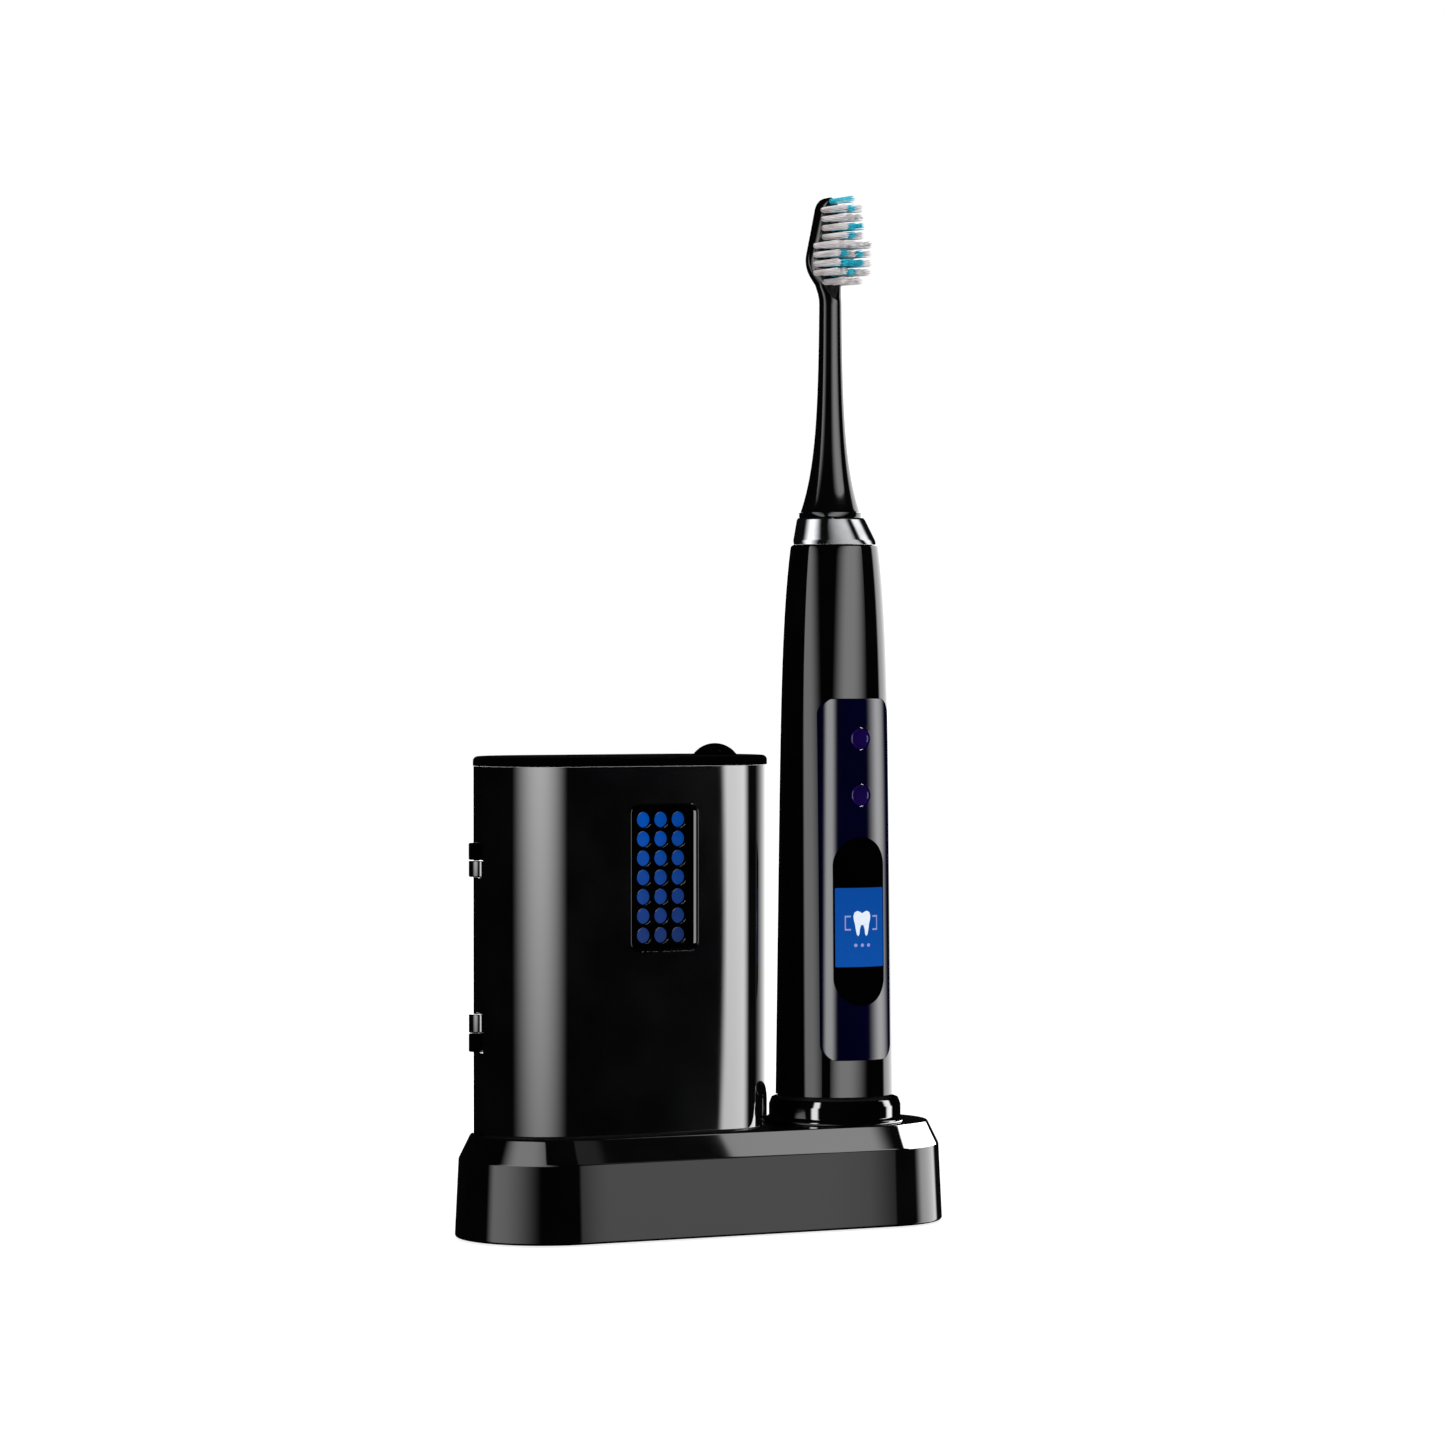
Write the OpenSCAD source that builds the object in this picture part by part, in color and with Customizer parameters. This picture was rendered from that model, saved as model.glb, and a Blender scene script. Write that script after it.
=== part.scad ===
// Sonic toothbrush standing in its charging base, with a steriliser cabinet for brush heads.
// Millimetres, +Z up, origin at the centre of the base on the surface it stands on.
// The cabinet is at -X, the toothbrush at +X, and the front faces -Y.

/* [Base] */
// Length of the base at its foot
base_length = 140.6; // [138:0.2:146]
// Width of the base at its foot
base_width = 48; // [47:1:52]
// Height of the base's top face
base_height = 27.5; // [26:0.5:30]
// Height at which the bevel round the top starts
bevel_start = 22; // [20:0.5:23]
// How far the bevel runs inwards
bevel_inset = 3.1; // [2.5:0.1:3.5]
// How far each side leans inwards up to the bevel
base_draft = 1.1; // [0.5:0.1:1.5]
// Wall of the base housing
base_wall = 2; // [1.6:0.1:2.4]
// Height of the rubber feet
foot_height = 0.5; // [0.5:0.1:1]

/* [Cabinet] */
// Radius of the cabinet's round ends
cabinet_radius = 19.5; // [19:0.1:19.8]
// X of the centre of the cabinet's right end
cabinet_right_x = -2.4; // [-4:0.1:-2]
// Height of the joint between the door and the cap
cap_start = 124.8; // [124:0.1:125]
// Height of the top of the cap
cabinet_top = 127.3; // [127:0.1:129]
// Wall of the cabinet shells
cabinet_wall = 1.8; // [1.6:0.1:2]
// Radius of the rounded edge round the cap
cap_round = 2; // [1.5:0.1:2.2]
// X of the hinge pins
hinge_x = -66.1; // [-66.3:0.1:-66]
// Radius of the hinge knuckles
knuckle_radius = 2; // [1.8:0.1:2.2]

/* [Window] */
// X of the centre of the window
window_x = -20.7; // [-24:0.1:-20]
// Height of the centre of the window
window_z = 95.5; // [90:0.5:97]
// Width of the window opening
window_width = 19; // [18:0.1:20]
// Height of the window opening
window_height = 37.8; // [37:0.1:39]
// Distance between neighbouring holes in the grille
grille_pitch = 5.07; // [4.8:0.01:5.2]
// Radius of the holes in the grille
grille_hole = 2.05; // [1.8:0.05:2.1]

/* [Lamp button] */
// X of the push button on the cap
lamp_button_x = 3.8; // [2:0.1:5]
// Radius of the sphere that the button's dome is part of
dome_sphere = 7.2; // [7:0.1:8]
// Height of the dome above the cap
dome_height = 3.1; // [2.5:0.1:3.2]

/* [Charging seat] */
// X of the centre of the seat and of the handle
seat_x = 40.2; // [39.8:0.1:41]
// Radius of the seat
seat_radius = 18; // [17.8:0.1:19]
// Height of the seat's rim
seat_rim = 34; // [33:0.5:35]
// Radius of the charging post
post_radius = 3.2; // [3:0.1:3.3]

/* [Handle] */
// Radius of the handle at its foot
handle_radius = 16.2; // [15.8:0.1:16.2]
// How much of that radius is lost evenly towards the top
handle_taper = 2; // [1.8:0.1:2.2]
// How much of it is lost at the shoulder
shoulder_taper = 2.2; // [2:0.1:2.4]
// Height of the foot of the handle
handle_foot = 29.7; // [29.7:0.1:30]
// Height of the handle's top
handle_top = 184; // [183:0.5:185]
// Wall of the handle shell
handle_wall = 1.8; // [1.6:0.1:1.8]
// How far the shaft and brush stand behind the handle's centre
neck_y = 2.5; // [2:0.1:2.5]
// Height of the power button
power_z = 131.5; // [128:0.5:133]
// Height of the mode button
mode_z = 116.3; // [113:0.1:118]
// Radius of the two buttons on the handle
key_radius = 2.85; // [2.5:0.05:3]

/* [Brush head] */
// Height of the lower end of the brush head
cuff_z = 191.8; // [191.8:0.1:192.5]
// Radius of the brush head at its lower end
cuff_radius = 8.6; // [8:0.1:8.8]
// Radius of the thin part of the stem
stem_radius = 3; // [2.8:0.1:3.2]
// Height over which the cuff narrows to the stem
stem_decay = 15; // [13:0.5:16]
// Total height of the object
total_height = 278.5; // [278:0.5:280]
// Half the width of the bristle plate
paddle_radius = 6.9; // [6.5:0.1:7.1]
// Angle of the bristles past the handle's front
head_yaw = 9.5; // [0:0.5:12]
// Length of the bristles
bristle_length = 10.5; // [9:0.5:11]

/* [Hidden] */
$fn = 64;
// Base
base_end = base_width / 2;
base_half = base_length / 2 - base_end;
base_top_radius = base_end - base_draft - bevel_inset;
gland_radius = 4.2;
cord_radius = 1.9;
gland_z = 11;
screw_x = 52;
screw_y = 12;
// Cabinet
cabinet_left_x = 0.5 - base_half;
cabinet_half = (cabinet_right_x - cabinet_left_x) / 2;
cabinet_x = (cabinet_right_x + cabinet_left_x) / 2;
cabinet_inner = cabinet_radius - cabinet_wall;
insert_radius = cabinet_inner - 0.3;
parting = 0.15;
door_foot = base_height + 0.9;
floor_top = base_height + 1.8;
tray_z = 118.2;
board_z = tray_z + 1.4;
cap_screws = [[cabinet_left_x + 4, 11], [cabinet_right_x - 6, 11]];
magnet_x = cabinet_right_x + 14;
magnet_z = 76;
knuckle_relief = knuckle_radius + 0.35;
leaf_length = cabinet_left_x - cabinet_radius + 1.3 - hinge_x;
pin_radius = 0.8;
// The upper hinge's door knuckle is its lower one, and the lower hinge's is its upper one
door_knuckles = [[95.8, 100.1], [54.9, 59.8]];
back_knuckles = [[100.3, 104.7], [49.9, 54.7]];
lamp_y = 10;
// Lamp button
dome_radius = sqrt(dome_sphere ^ 2 - (dome_sphere - dome_height) ^ 2);
button_flange_z = cabinet_top - cabinet_wall - 1.1;
// Handle
shell_foot = 35;
panel_low = 44.8;
panel_high = 142.4;
panel_depth = 0.8;
lens_low = 59.5;
lens_high = 105;
lens_half = 7.75;
screen_low = 70;
screen_high = 91.5;
board_y = -8.4;
key_press_clearance = 0.25;
shaft_radius = 2;
shaft_bore = 2.05;
ring_top = 191.3;
shoulder_radius = 11.7;
ring_foot_radius = 11.5;
ring_top_radius = 9.1;
inlay_back = -0.75;
cut_depth = -2.5;
cut_height = 2;
// Brush head
paddle_low = total_height - 24.2;
paddle_low_z = paddle_low + paddle_radius;
paddle_tip = 3.6;
paddle_tip_z = total_height - paddle_tip;
paddle_front = -0.5;
paddle_back = 3.6;
tuft_rows = 10;
tuft_pitch = 2.45;
column_pitch = 2.55;
tuft_radius = 0.9;

// ---- Shapes that repeat ----

// Flat outline with two round ends, centred on x
module stadium(x, half, radius) {
  translate([x, 0]) {
    square([2 * half, 2 * radius], center = true);
    for (side = [-1, 1])
      translate([side * half, 0]) circle(radius);
  }
}

// Upright plate or wall with that outline, from low to high
module stadium_block(x, half, radius, low, high) {
  translate([0, 0, low]) linear_extrude(high - low) stadium(x, half, radius);
}

// Solid whose half section, the child, runs round a stadium
module stadium_sweep(x, half) {
  translate([x, 0, 0]) {
    for (side = [0, 1])
      rotate([0, 0, side * 180])
        translate([half, 0, 0])
          rotate([0, 0, -90]) rotate_extrude(angle = 180) children();
    translate([-half, 0, 0]) rotate([90, 0, 90]) linear_extrude(2 * half) {
      children();
      mirror([1, 0]) children();
    }
  }
}

module cabinet_wall_ring(low, high) {
  difference() {
    stadium_block(cabinet_x, cabinet_half, cabinet_radius, low, high);
    stadium_block(cabinet_x, cabinet_half, cabinet_inner, low - 1, high + 1);
  }
}

// Everything on one side of the cabinet's parting plane: 1 is the back, -1 the front
module half_space(side) {
  translate([-100, side > 0 ? parting : -100 - parting, 0]) cube([200, 100, 200]);
}

module knuckle(span, side, bore) {
  height = span[1] - span[0];
  difference() {
    translate([hinge_x, 0, span[0]]) union() {
      cylinder(h = height, r = knuckle_radius);
      translate([0, side > 0 ? parting : -knuckle_radius, 0])
        cube([leaf_length, knuckle_radius - parting, height]);
    }
    translate([hinge_x, 0, span[0] - 1]) cylinder(h = height + 2, r = bore);
  }
}

module knuckle_clearance(span) {
  translate([hinge_x, 0, span[0] - 0.3]) cylinder(h = span[1] - span[0] + 0.6, r = knuckle_relief);
}

// Places children at the four bottom screws
module at_screws() {
  for (x = [-1, 1], y = [-1, 1]) translate([x * screw_x, y * screw_y, 0]) children();
}

// ---- Base ----

module base_shell() color([0.02, 0.02, 0.02]) {
  difference() {
    stadium_sweep(0, base_half) polygon([
      [0, foot_height], [base_end - 0.6, foot_height], [base_end, foot_height + 0.6],
      [base_end - base_draft, bevel_start], [base_top_radius, base_height], [0, base_height]
    ]);
    stadium_sweep(0, base_half) polygon([
      [0, foot_height - 1], [base_end - base_wall, foot_height - 1],
      [base_end - base_draft - base_wall, bevel_start - 1],
      [base_top_radius - base_wall + 0.4, base_height - base_wall], [0, base_height - base_wall]
    ]);
    // The post's hole, the lamp wires' hole and the cord's hole in the rear wall
    translate([seat_x, 0, base_height - 5]) cylinder(h = 10, r = post_radius + 0.1);
    translate([cabinet_x, 14, base_height - 5]) cylinder(h = 10, r = 2.5);
    translate([0, base_end, gland_z]) rotate([-90, 0, 0]) {
      translate([0, 0, -6]) cylinder(h = 10, r = gland_radius - 0.9);
      translate([0, 0, -0.6]) cylinder(h = 2, r = gland_radius + 0.1);
    }
  }
  at_screws() difference() {
    translate([0, 0, 3.4]) cylinder(h = base_height - base_wall - 3.2, r = 2.8);
    translate([0, 0, 3]) cylinder(h = 10, r = 1.25);
  }
}

module bottom_plate() color([0.05, 0.05, 0.05]) difference() {
  stadium_block(0, base_half, base_end - base_wall - 0.2, foot_height, foot_height + 2.4);
  at_screws() {
    translate([0, 0, foot_height - 1]) cylinder(h = 5, r = 1.5);
    translate([0, 0, foot_height - 1]) cylinder(h = 2.6, r = 2.8);
  }
}

module rubber_feet() color([0.1, 0.1, 0.1])
  for (x = [-1, 1], y = [-1, 1])
    translate([x * (screw_x - 14), y * (screw_y + 1), 0]) cylinder(h = foot_height, r = 4.5);

module base_screws() color("silver")
  at_screws() {
    translate([0, 0, foot_height + 0.3]) difference() {
      cylinder(h = 1.3, r = 2.5);
      for (turn = [0, 90])
        rotate([0, 0, turn]) translate([-1.4, -0.3, -1]) cube([2.8, 0.6, 1.6]);
    }
    translate([0, 0, foot_height + 1.6]) cylinder(h = 9, r = 1.2);
  }

// Rubber bushing: a lip on each side of the rear wall, with the cord's hole through it
module cord_gland() color([0.06, 0.06, 0.06])
  translate([0, base_end, gland_z]) rotate([-90, 0, 0]) difference() {
    union() {
      translate([0, 0, -4.2]) cylinder(h = 1.2, r = gland_radius);
      translate([0, 0, -8]) cylinder(h = 7.9, r = gland_radius - 1);
      translate([0, 0, -0.55]) cylinder(h = 0.45, r = gland_radius);
    }
    translate([0, 0, -9]) cylinder(h = 10, r = cord_radius);
  }

module charger_board() color("darkgreen") {
  translate([5, -13, 6]) cube([40, 24, 1.6]);
  translate([10, -9, 7.6]) cube([10, 8, 7]);
  translate([30, 3, 7.6]) cylinder(h = 9, r = 3.5);
  translate([25, -8, 7.6]) cube([6, 5, 1.5]);
  for (x = [7, 43]) translate([x, -1, 3.2]) cylinder(h = 2.8, r = 1.6);
}

// ---- Charging seat ----

module charging_seat() color([0.02, 0.02, 0.02])
  translate([seat_x, 0, 0]) rotate_extrude() polygon([
    [post_radius + 0.1, base_height], [seat_radius, base_height],
    [seat_radius, seat_rim - 2.2], [seat_radius - 0.3, seat_rim - 1], [seat_radius - 0.8, seat_rim],
    [handle_radius + 0.35, seat_rim], [handle_radius + 0.35, handle_foot - 0.2],
    [post_radius + 0.1, handle_foot - 0.2]
  ]);

module charging_post() color([0.03, 0.03, 0.03]) translate([seat_x, 0, 0]) difference() {
  rotate_extrude() polygon([
    [0, 19], [8.2, 19], [8.2, 24], [post_radius, 24],
    [post_radius, 36.6], [post_radius - 0.8, 37.4], [0, 37.4]
  ]);
  translate([0, 0, 18]) cylinder(h = 18, r = 1.7);
  translate([0, 0, 18]) cylinder(h = 4.6, r = 6.8);
}

module coil_core() color([0.25, 0.25, 0.26])
  translate([seat_x, 0, 18.4]) cylinder(h = 17.2, r = 1.6);

module primary_coil() color("peru") translate([seat_x, 0, 18.4]) difference() {
  cylinder(h = 4, r = 6.6);
  translate([0, 0, -1]) cylinder(h = 6, r = 1.7);
}

// ---- Cabinet ----

module cabinet_back() color([0.02, 0.02, 0.02]) {
  difference() {
    intersection() {
      union() {
        cabinet_wall_ring(base_height, cap_start);
        intersection() {
          stadium_block(cabinet_x, cabinet_half, cabinet_inner + 0.2, magnet_z - 6, magnet_z + 6);
          translate([magnet_x - 0.3, 4.3, 0]) cube([10, 1.6, 200]);
        }
        // Rails that carry the lamp's clips
        for (z = [40, 105])
          translate([cabinet_x - 3, lamp_y + 4.8, z]) cube([6, 3.4, 5]);
      }
      half_space(1);
    }
    for (span = door_knuckles) knuckle_clearance(span);
  }
  for (span = back_knuckles) knuckle(span, 1, pin_radius);
}

module cabinet_floor() color([0.04, 0.04, 0.04])
  stadium_block(cabinet_x, cabinet_half, insert_radius, base_height, floor_top);

module head_pegs() color([0.75, 0.76, 0.78])
  for (x = [cabinet_left_x + 2, cabinet_x, cabinet_right_x - 2])
    translate([x, -4, floor_top]) {
      cylinder(h = 17, r = 2);
      cylinder(h = 1.2, r = 5);
      translate([0, 0, 17]) cylinder(h = 1, r1 = 2, r2 = 1.3);
    }

// Shallow tray above the heads, which holds the lamp's board and the switch
module service_tray() color([0.04, 0.04, 0.04]) difference() {
  stadium_block(cabinet_x, cabinet_half, insert_radius, tray_z, cap_start);
  stadium_block(cabinet_x, cabinet_half, insert_radius - 1.2, tray_z + 1.2, cap_start + 1);
  translate([cabinet_x, lamp_y, tray_z - 1]) cylinder(h = 4, r = 2);
  for (place = cap_screws) translate([place[0], place[1], tray_z - 1]) cylinder(h = 4, r = 1.1);
}

// Lid with a rounded edge, and a boss inside it for each of its two screws
module cabinet_cap() color([0.02, 0.02, 0.02]) {
  roof = cabinet_top - cabinet_wall;
  difference() {
    stadium_sweep(cabinet_x, cabinet_half) union() {
      square([cabinet_radius - cap_round, cabinet_top]);
      square([cabinet_radius, cabinet_top - cap_round]);
      translate([cabinet_radius - cap_round, cabinet_top - cap_round]) circle(cap_round);
    }
    stadium_block(cabinet_x, cabinet_half, cabinet_radius + 5, -1, cap_start);
    stadium_block(cabinet_x, cabinet_half, cabinet_inner, cap_start - 1, roof);
    translate([lamp_button_x, 0, cap_start]) cylinder(h = 10, r = dome_radius + 0.3);
  }
  for (place = cap_screws) translate([place[0], place[1], 0]) difference() {
    translate([0, 0, board_z]) cylinder(h = roof + 0.2 - board_z, r = 2.6);
    translate([0, 0, board_z - 1]) cylinder(h = roof - 0.2 - board_z + 1, r = 1.05);
  }
}

module cabinet_screws() color("silver")
  for (place = cap_screws) translate([place[0], place[1], tray_z]) {
    translate([0, 0, -1.2]) cylinder(h = 1.1, r = 2);
    translate([0, 0, -0.2]) cylinder(h = 7, r = 1);
  }

module uv_lamp() color([0.85, 0.9, 1]) translate([cabinet_x, lamp_y, 0]) {
  translate([0, 0, 38]) cylinder(h = 72, r = 3.2);
  for (z = [33, 110]) translate([0, 0, z]) cylinder(h = 5, r = 3.5);
  for (x = [-1.2, 1.2]) translate([x, 0, 115]) cylinder(h = 3, r = 0.4);
}

module lamp_clips() color([0.6, 0.62, 0.64])
  for (z = [40.5, 105.5]) translate([cabinet_x, lamp_y, z]) difference() {
    union() {
      cylinder(h = 4, r = 4.4);
      translate([-2, 2, 0]) cube([4, 2.8, 4]);
    }
    translate([0, 0, -1]) cylinder(h = 6, r = 3.3);
    translate([-2.2, -6, -1]) cube([4.4, 5, 6]);
  }

module lamp_reflector() color([0.8, 0.82, 0.85])
  translate([cabinet_x, lamp_y - 1, 48]) rotate([0, 0, 15]) rotate_extrude(angle = 150)
    translate([6.4, 0]) square([0.5, 54]);

module lamp_board() color("darkgreen") {
  translate([cabinet_x - 20, -8, board_z]) cube([32, 16, 1.2]);
  translate([cabinet_x - 16, -5, board_z + 1.2]) cube([8, 9, 3]);
  translate([cabinet_x, 1, board_z + 1.2]) cube([6, 4, 1.6]);
}

module button_switch() color([0.15, 0.15, 0.15]) translate([lamp_button_x, 0, board_z]) {
  translate([-5, -5, -0.2]) cube([10, 10, 0.8]);
  translate([-2.2, -2.2, 0.6]) cube([4.4, 4.4, 0.9]);
  translate([0, 0, 1.5]) cylinder(h = 0.4, r = 1);
}

// Points of a round wire bent into a helix between two heights
function helix_points(radius, wire, low, high, turns, steps, sides) = [
  for (i = [0 : steps]) let (turn = 360 * turns * i / steps, z = low + (high - low) * i / steps)
    for (k = [0 : sides - 1]) let (out = radius + wire * cos(360 * k / sides))
      [out * cos(turn), out * sin(turn), z + wire * sin(360 * k / sides)]
];

function helix_faces(steps, sides) = concat(
  [[for (k = [0 : sides - 1]) k]],
  [for (i = [0 : steps - 1], k = [0 : sides - 1])
    [i * sides + k, (i + 1) * sides + k, (i + 1) * sides + (k + 1) % sides, i * sides + (k + 1) % sides]],
  [[for (k = [sides - 1 : -1 : 0]) steps * sides + k]]
);

module button_spring() color("silver") {
  turns = 3;
  steps = 60;
  sides = 8;
  wire = 0.25;
  low = board_z + 0.6 + wire;
  high = button_flange_z - wire;
  translate([lamp_button_x, 0, 0]) polyhedron(
    points = helix_points(4.2, wire, low, high, turns, steps, sides),
    faces = helix_faces(steps, sides), convexity = 10
  );
}

module hinge_pins() color("silver")
  for (z = [[49.7, 60], [95.6, 104.9]])
    translate([hinge_x, 0, z[0]]) cylinder(h = z[1] - z[0], r = pin_radius);

module door_magnet() color([0.5, 0.5, 0.52]) translate([magnet_x, 0.3, magnet_z - 4]) cube([2.5, 4, 8]);

module uv_button() color([0.02, 0.02, 0.02]) translate([lamp_button_x, 0, 0]) {
  intersection() {
    translate([0, 0, cabinet_top + dome_height - dome_sphere]) sphere(dome_sphere);
    translate([0, 0, cabinet_top - 0.1]) cylinder(h = 5, r = dome_radius + 1);
  }
  translate([0, 0, button_flange_z]) cylinder(h = cabinet_top - button_flange_z, r = dome_radius);
  translate([0, 0, button_flange_z]) cylinder(h = 0.8, r = dome_radius + 1.1);
  translate([0, 0, button_flange_z - 1.2]) cylinder(h = 1.4, r = 1.2);
}

// ---- Door ----

module window_outline(width, height, corner) {
  for (x = [-1, 1], z = [-1, 1])
    translate([x * (width / 2 - corner), z * (height / 2 - corner)]) circle(corner);
  square([width - 2 * corner, height], center = true);
  square([width, height - 2 * corner], center = true);
}

// Plate behind the front wall of the door, from depth back to depth + thickness
module window_plate(width, height, corner, depth, thickness) {
  translate([window_x, -cabinet_radius + depth, window_z]) rotate([90, 0, 0])
    translate([0, 0, -thickness]) linear_extrude(thickness) window_outline(width, height, corner);
}

module door_shell() color([0.02, 0.02, 0.02]) {
  difference() {
    intersection() {
      union() {
        cabinet_wall_ring(door_foot, cap_start - 0.3);
        intersection() {
          stadium_block(cabinet_x, cabinet_half, cabinet_inner + 0.2, magnet_z - 6, magnet_z + 6);
          translate([magnet_x, -3.2, 0]) cube([10, 1.6, 200]);
        }
      }
      half_space(-1);
    }
    for (span = back_knuckles) knuckle_clearance(span);
    window_plate(window_width, window_height, 2, -1, 5);
  }
  for (span = door_knuckles) knuckle(span, -1, pin_radius + 0.05);
}

module window_grille() color([0.02, 0.02, 0.02]) difference() {
  window_plate(window_width + 3, window_height + 3, 3, cabinet_wall, 1.2);
  for (column = [-1 : 1], row = [-3 : 3])
    translate([window_x + column * grille_pitch, -cabinet_radius, window_z + row * grille_pitch])
      rotate([-90, 0, 0]) cylinder(h = 5, r = grille_hole);
}

module window_lens() color([0.05, 0.2, 0.65])
  window_plate(window_width + 1, window_height + 1, 2, cabinet_wall + 1.2, 1.2);

module strike_plate() color("silver") translate([magnet_x, -1.6, magnet_z - 5]) cube([2.5, 1.2, 10]);

// ---- Handle ----

// Outer radius of the handle at height z: an even taper, and a shoulder near the top
function handle_share(z) = (z - handle_foot) / (handle_top - handle_foot);
function handle_r(z) = handle_radius - handle_taper * handle_share(z) - shoulder_taper * handle_share(z) ^ 8;

// Band of the handle between two heights and two depths from its surface, as a half section
module handle_band(low, high, outer, inner) {
  steps = 14;
  heights = [for (i = [0 : steps]) low + (high - low) * i / steps];
  polygon(concat(
    [for (z = heights) [handle_r(z) + outer, z]],
    [for (i = [steps : -1 : 0]) [handle_r(heights[i]) + inner, heights[i]]]
  ));
}

// Part of that band at the front of the handle
module front_band(low, high, outer, inner, half_angle) {
  rotate([0, 0, -90 - half_angle]) rotate_extrude(angle = 2 * half_angle)
    handle_band(low, high, outer, inner);
}

// Prism in front of the handle with the outline of the child, whose Y is the height
module front_prism() {
  rotate([90, 0, 0]) linear_extrude(30) children();
}

module rounded_rect(width, low, high, corner) {
  translate([0, (low + high) / 2]) window_outline(width, high - low, corner);
}

// Each blank goes from inner to outer, both measured from the handle's surface
module panel_blank(inner, outer) {
  intersection() {
    front_band(panel_low, panel_high, outer, inner, 50);
    front_prism() rounded_rect(21.6, panel_low, panel_high, 3);
  }
}

module lens_blank(inner, outer) {
  intersection() {
    front_band(lens_low - 1, lens_high + 1, outer, inner, 50);
    front_prism() rounded_rect(2 * lens_half, lens_low, lens_high, lens_half - 0.02);
  }
}

module screen_blank(inner, outer) {
  intersection() {
    front_band(screen_low, screen_high, outer, inner, 50);
    front_prism() rounded_rect(2 * lens_half - 1, screen_low, screen_high, 0.3);
  }
}

// Hole through the handle's front for a button
module key_hole(z, radius) {
  translate([0, -handle_radius - 2, z]) rotate([-90, 0, 0]) cylinder(h = 7, r = radius);
}

module handle_shell() color([0.02, 0.02, 0.02]) translate([seat_x, 0, 0]) difference() {
  rotate_extrude() union() {
    handle_band(shell_foot, handle_top - 1.2, 0, -handle_wall);
    polygon([
      [handle_r(handle_top - 1.2), handle_top - 1.2], [shoulder_radius, handle_top],
      [9.6, handle_top], [handle_r(handle_top - 1.2) - handle_wall, handle_top - 1.2]
    ]);
  }
  panel_blank(-panel_depth, cut_height);
  for (z = [power_z, mode_z]) key_hole(z, key_radius + key_press_clearance);
}

module control_panel() color([0.01, 0.01, 0.09]) translate([seat_x, 0, 0]) difference() {
  panel_blank(-panel_depth, 0.1);
  lens_blank(cut_depth, cut_height);
  for (z = [power_z, mode_z]) key_hole(z, key_radius + key_press_clearance);
}

module display_lens() color([0.005, 0.005, 0.005]) translate([seat_x, 0, 0]) difference() {
  lens_blank(inlay_back, 0.2);
  screen_blank(cut_depth, cut_height);
}

module display_screen() color([0.04, 0.28, 0.62]) translate([seat_x, 0, 0])
  screen_blank(inlay_back, 0.15);

module key(z) {
  face = handle_r(z) + 0.45;
  flange = handle_r(z) - handle_wall - 1.4;
  translate([seat_x, 0, z]) rotate([90, 0, 0]) {
    translate([0, 0, flange]) cylinder(h = face - 0.3 - flange, r = key_radius);
    translate([0, 0, face - 0.3]) cylinder(h = 0.3, r1 = key_radius, r2 = key_radius - 0.3);
    translate([0, 0, flange]) cylinder(h = 0.7, r = key_radius + 0.8);
    translate([0, 0, -board_y + 1.9]) cylinder(h = flange + board_y - 1.8, r = 1);
  }
}

module power_button() color([0.02, 0, 0.14]) key(power_z);
module mode_button() color([0.02, 0, 0.14]) key(mode_z);

// Collar that leans from the handle's centre to the shaft's
module chrome_ring() color([0.8, 0.8, 0.82]) difference() {
  hull() {
    translate([seat_x, 0, handle_top]) cylinder(h = 0.01, r = ring_foot_radius, $fn = 96);
    translate([seat_x, neck_y, ring_top - 0.01]) cylinder(h = 0.01, r = ring_top_radius, $fn = 96);
  }
  translate([seat_x, neck_y, handle_top - 1]) cylinder(h = 10, r = 6);
}

module shaft_seal() color([0.08, 0.08, 0.08]) translate([seat_x, neck_y, 0]) difference() {
  translate([0, 0, handle_top + 0.2]) cylinder(h = ring_top - handle_top - 1, r = 5.95);
  translate([0, 0, handle_top - 1]) cylinder(h = 10, r = shaft_bore);
}

module end_cap() color([0.04, 0.04, 0.04]) translate([seat_x, 0, 0]) rotate_extrude() polygon([
  [post_radius + 0.4, handle_foot], [14.6, handle_foot], [15.4, handle_foot + 0.8], [15.4, shell_foot],
  [13.8, shell_foot], [13.8, 37.4], [12.5, 37.4], [12.5, 39.2], [13.8, 39.2], [13.8, 41.6],
  [10.8, 41.6], [10.8, handle_foot + 1.8], [4.8, handle_foot + 1.8], [4.8, 40], [0, 40], [0, 38.7],
  [post_radius + 0.4, 38.7]
]);

module end_cap_seal() color([0.5, 0.15, 0.1])
  translate([seat_x, 0, 38.3]) rotate_extrude() translate([13.3, 0]) circle(0.75);

module secondary_coil() color("peru") translate([seat_x, 0, 32.2]) difference() {
  cylinder(h = 6.6, r = 9);
  translate([0, 0, -1]) cylinder(h = 9, r = 4.9);
}

// Chassis: a half tube behind the works, with a bulkhead below and between them
module inner_frame() color([0.7, 0.7, 0.66]) translate([seat_x, 0, 0]) {
  translate([0, 0, 42.4]) rotate_extrude(angle = 180) translate([10.4, 0]) square([1, 122]);
  for (z = [42.4, 98.5])
    intersection() {
      translate([0, 0, z]) cylinder(h = 2, r = 11);
      translate([-15, board_y + 1.5, 0]) cube([30, 30, 200]);
    }
}

module battery() color([0.2, 0.45, 0.25]) translate([seat_x, neck_y, 0]) {
  translate([0, 0, 46]) cylinder(h = 50, r = 7);
  translate([0, 0, 96]) cylinder(h = 1, r = 2.5);
}

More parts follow.
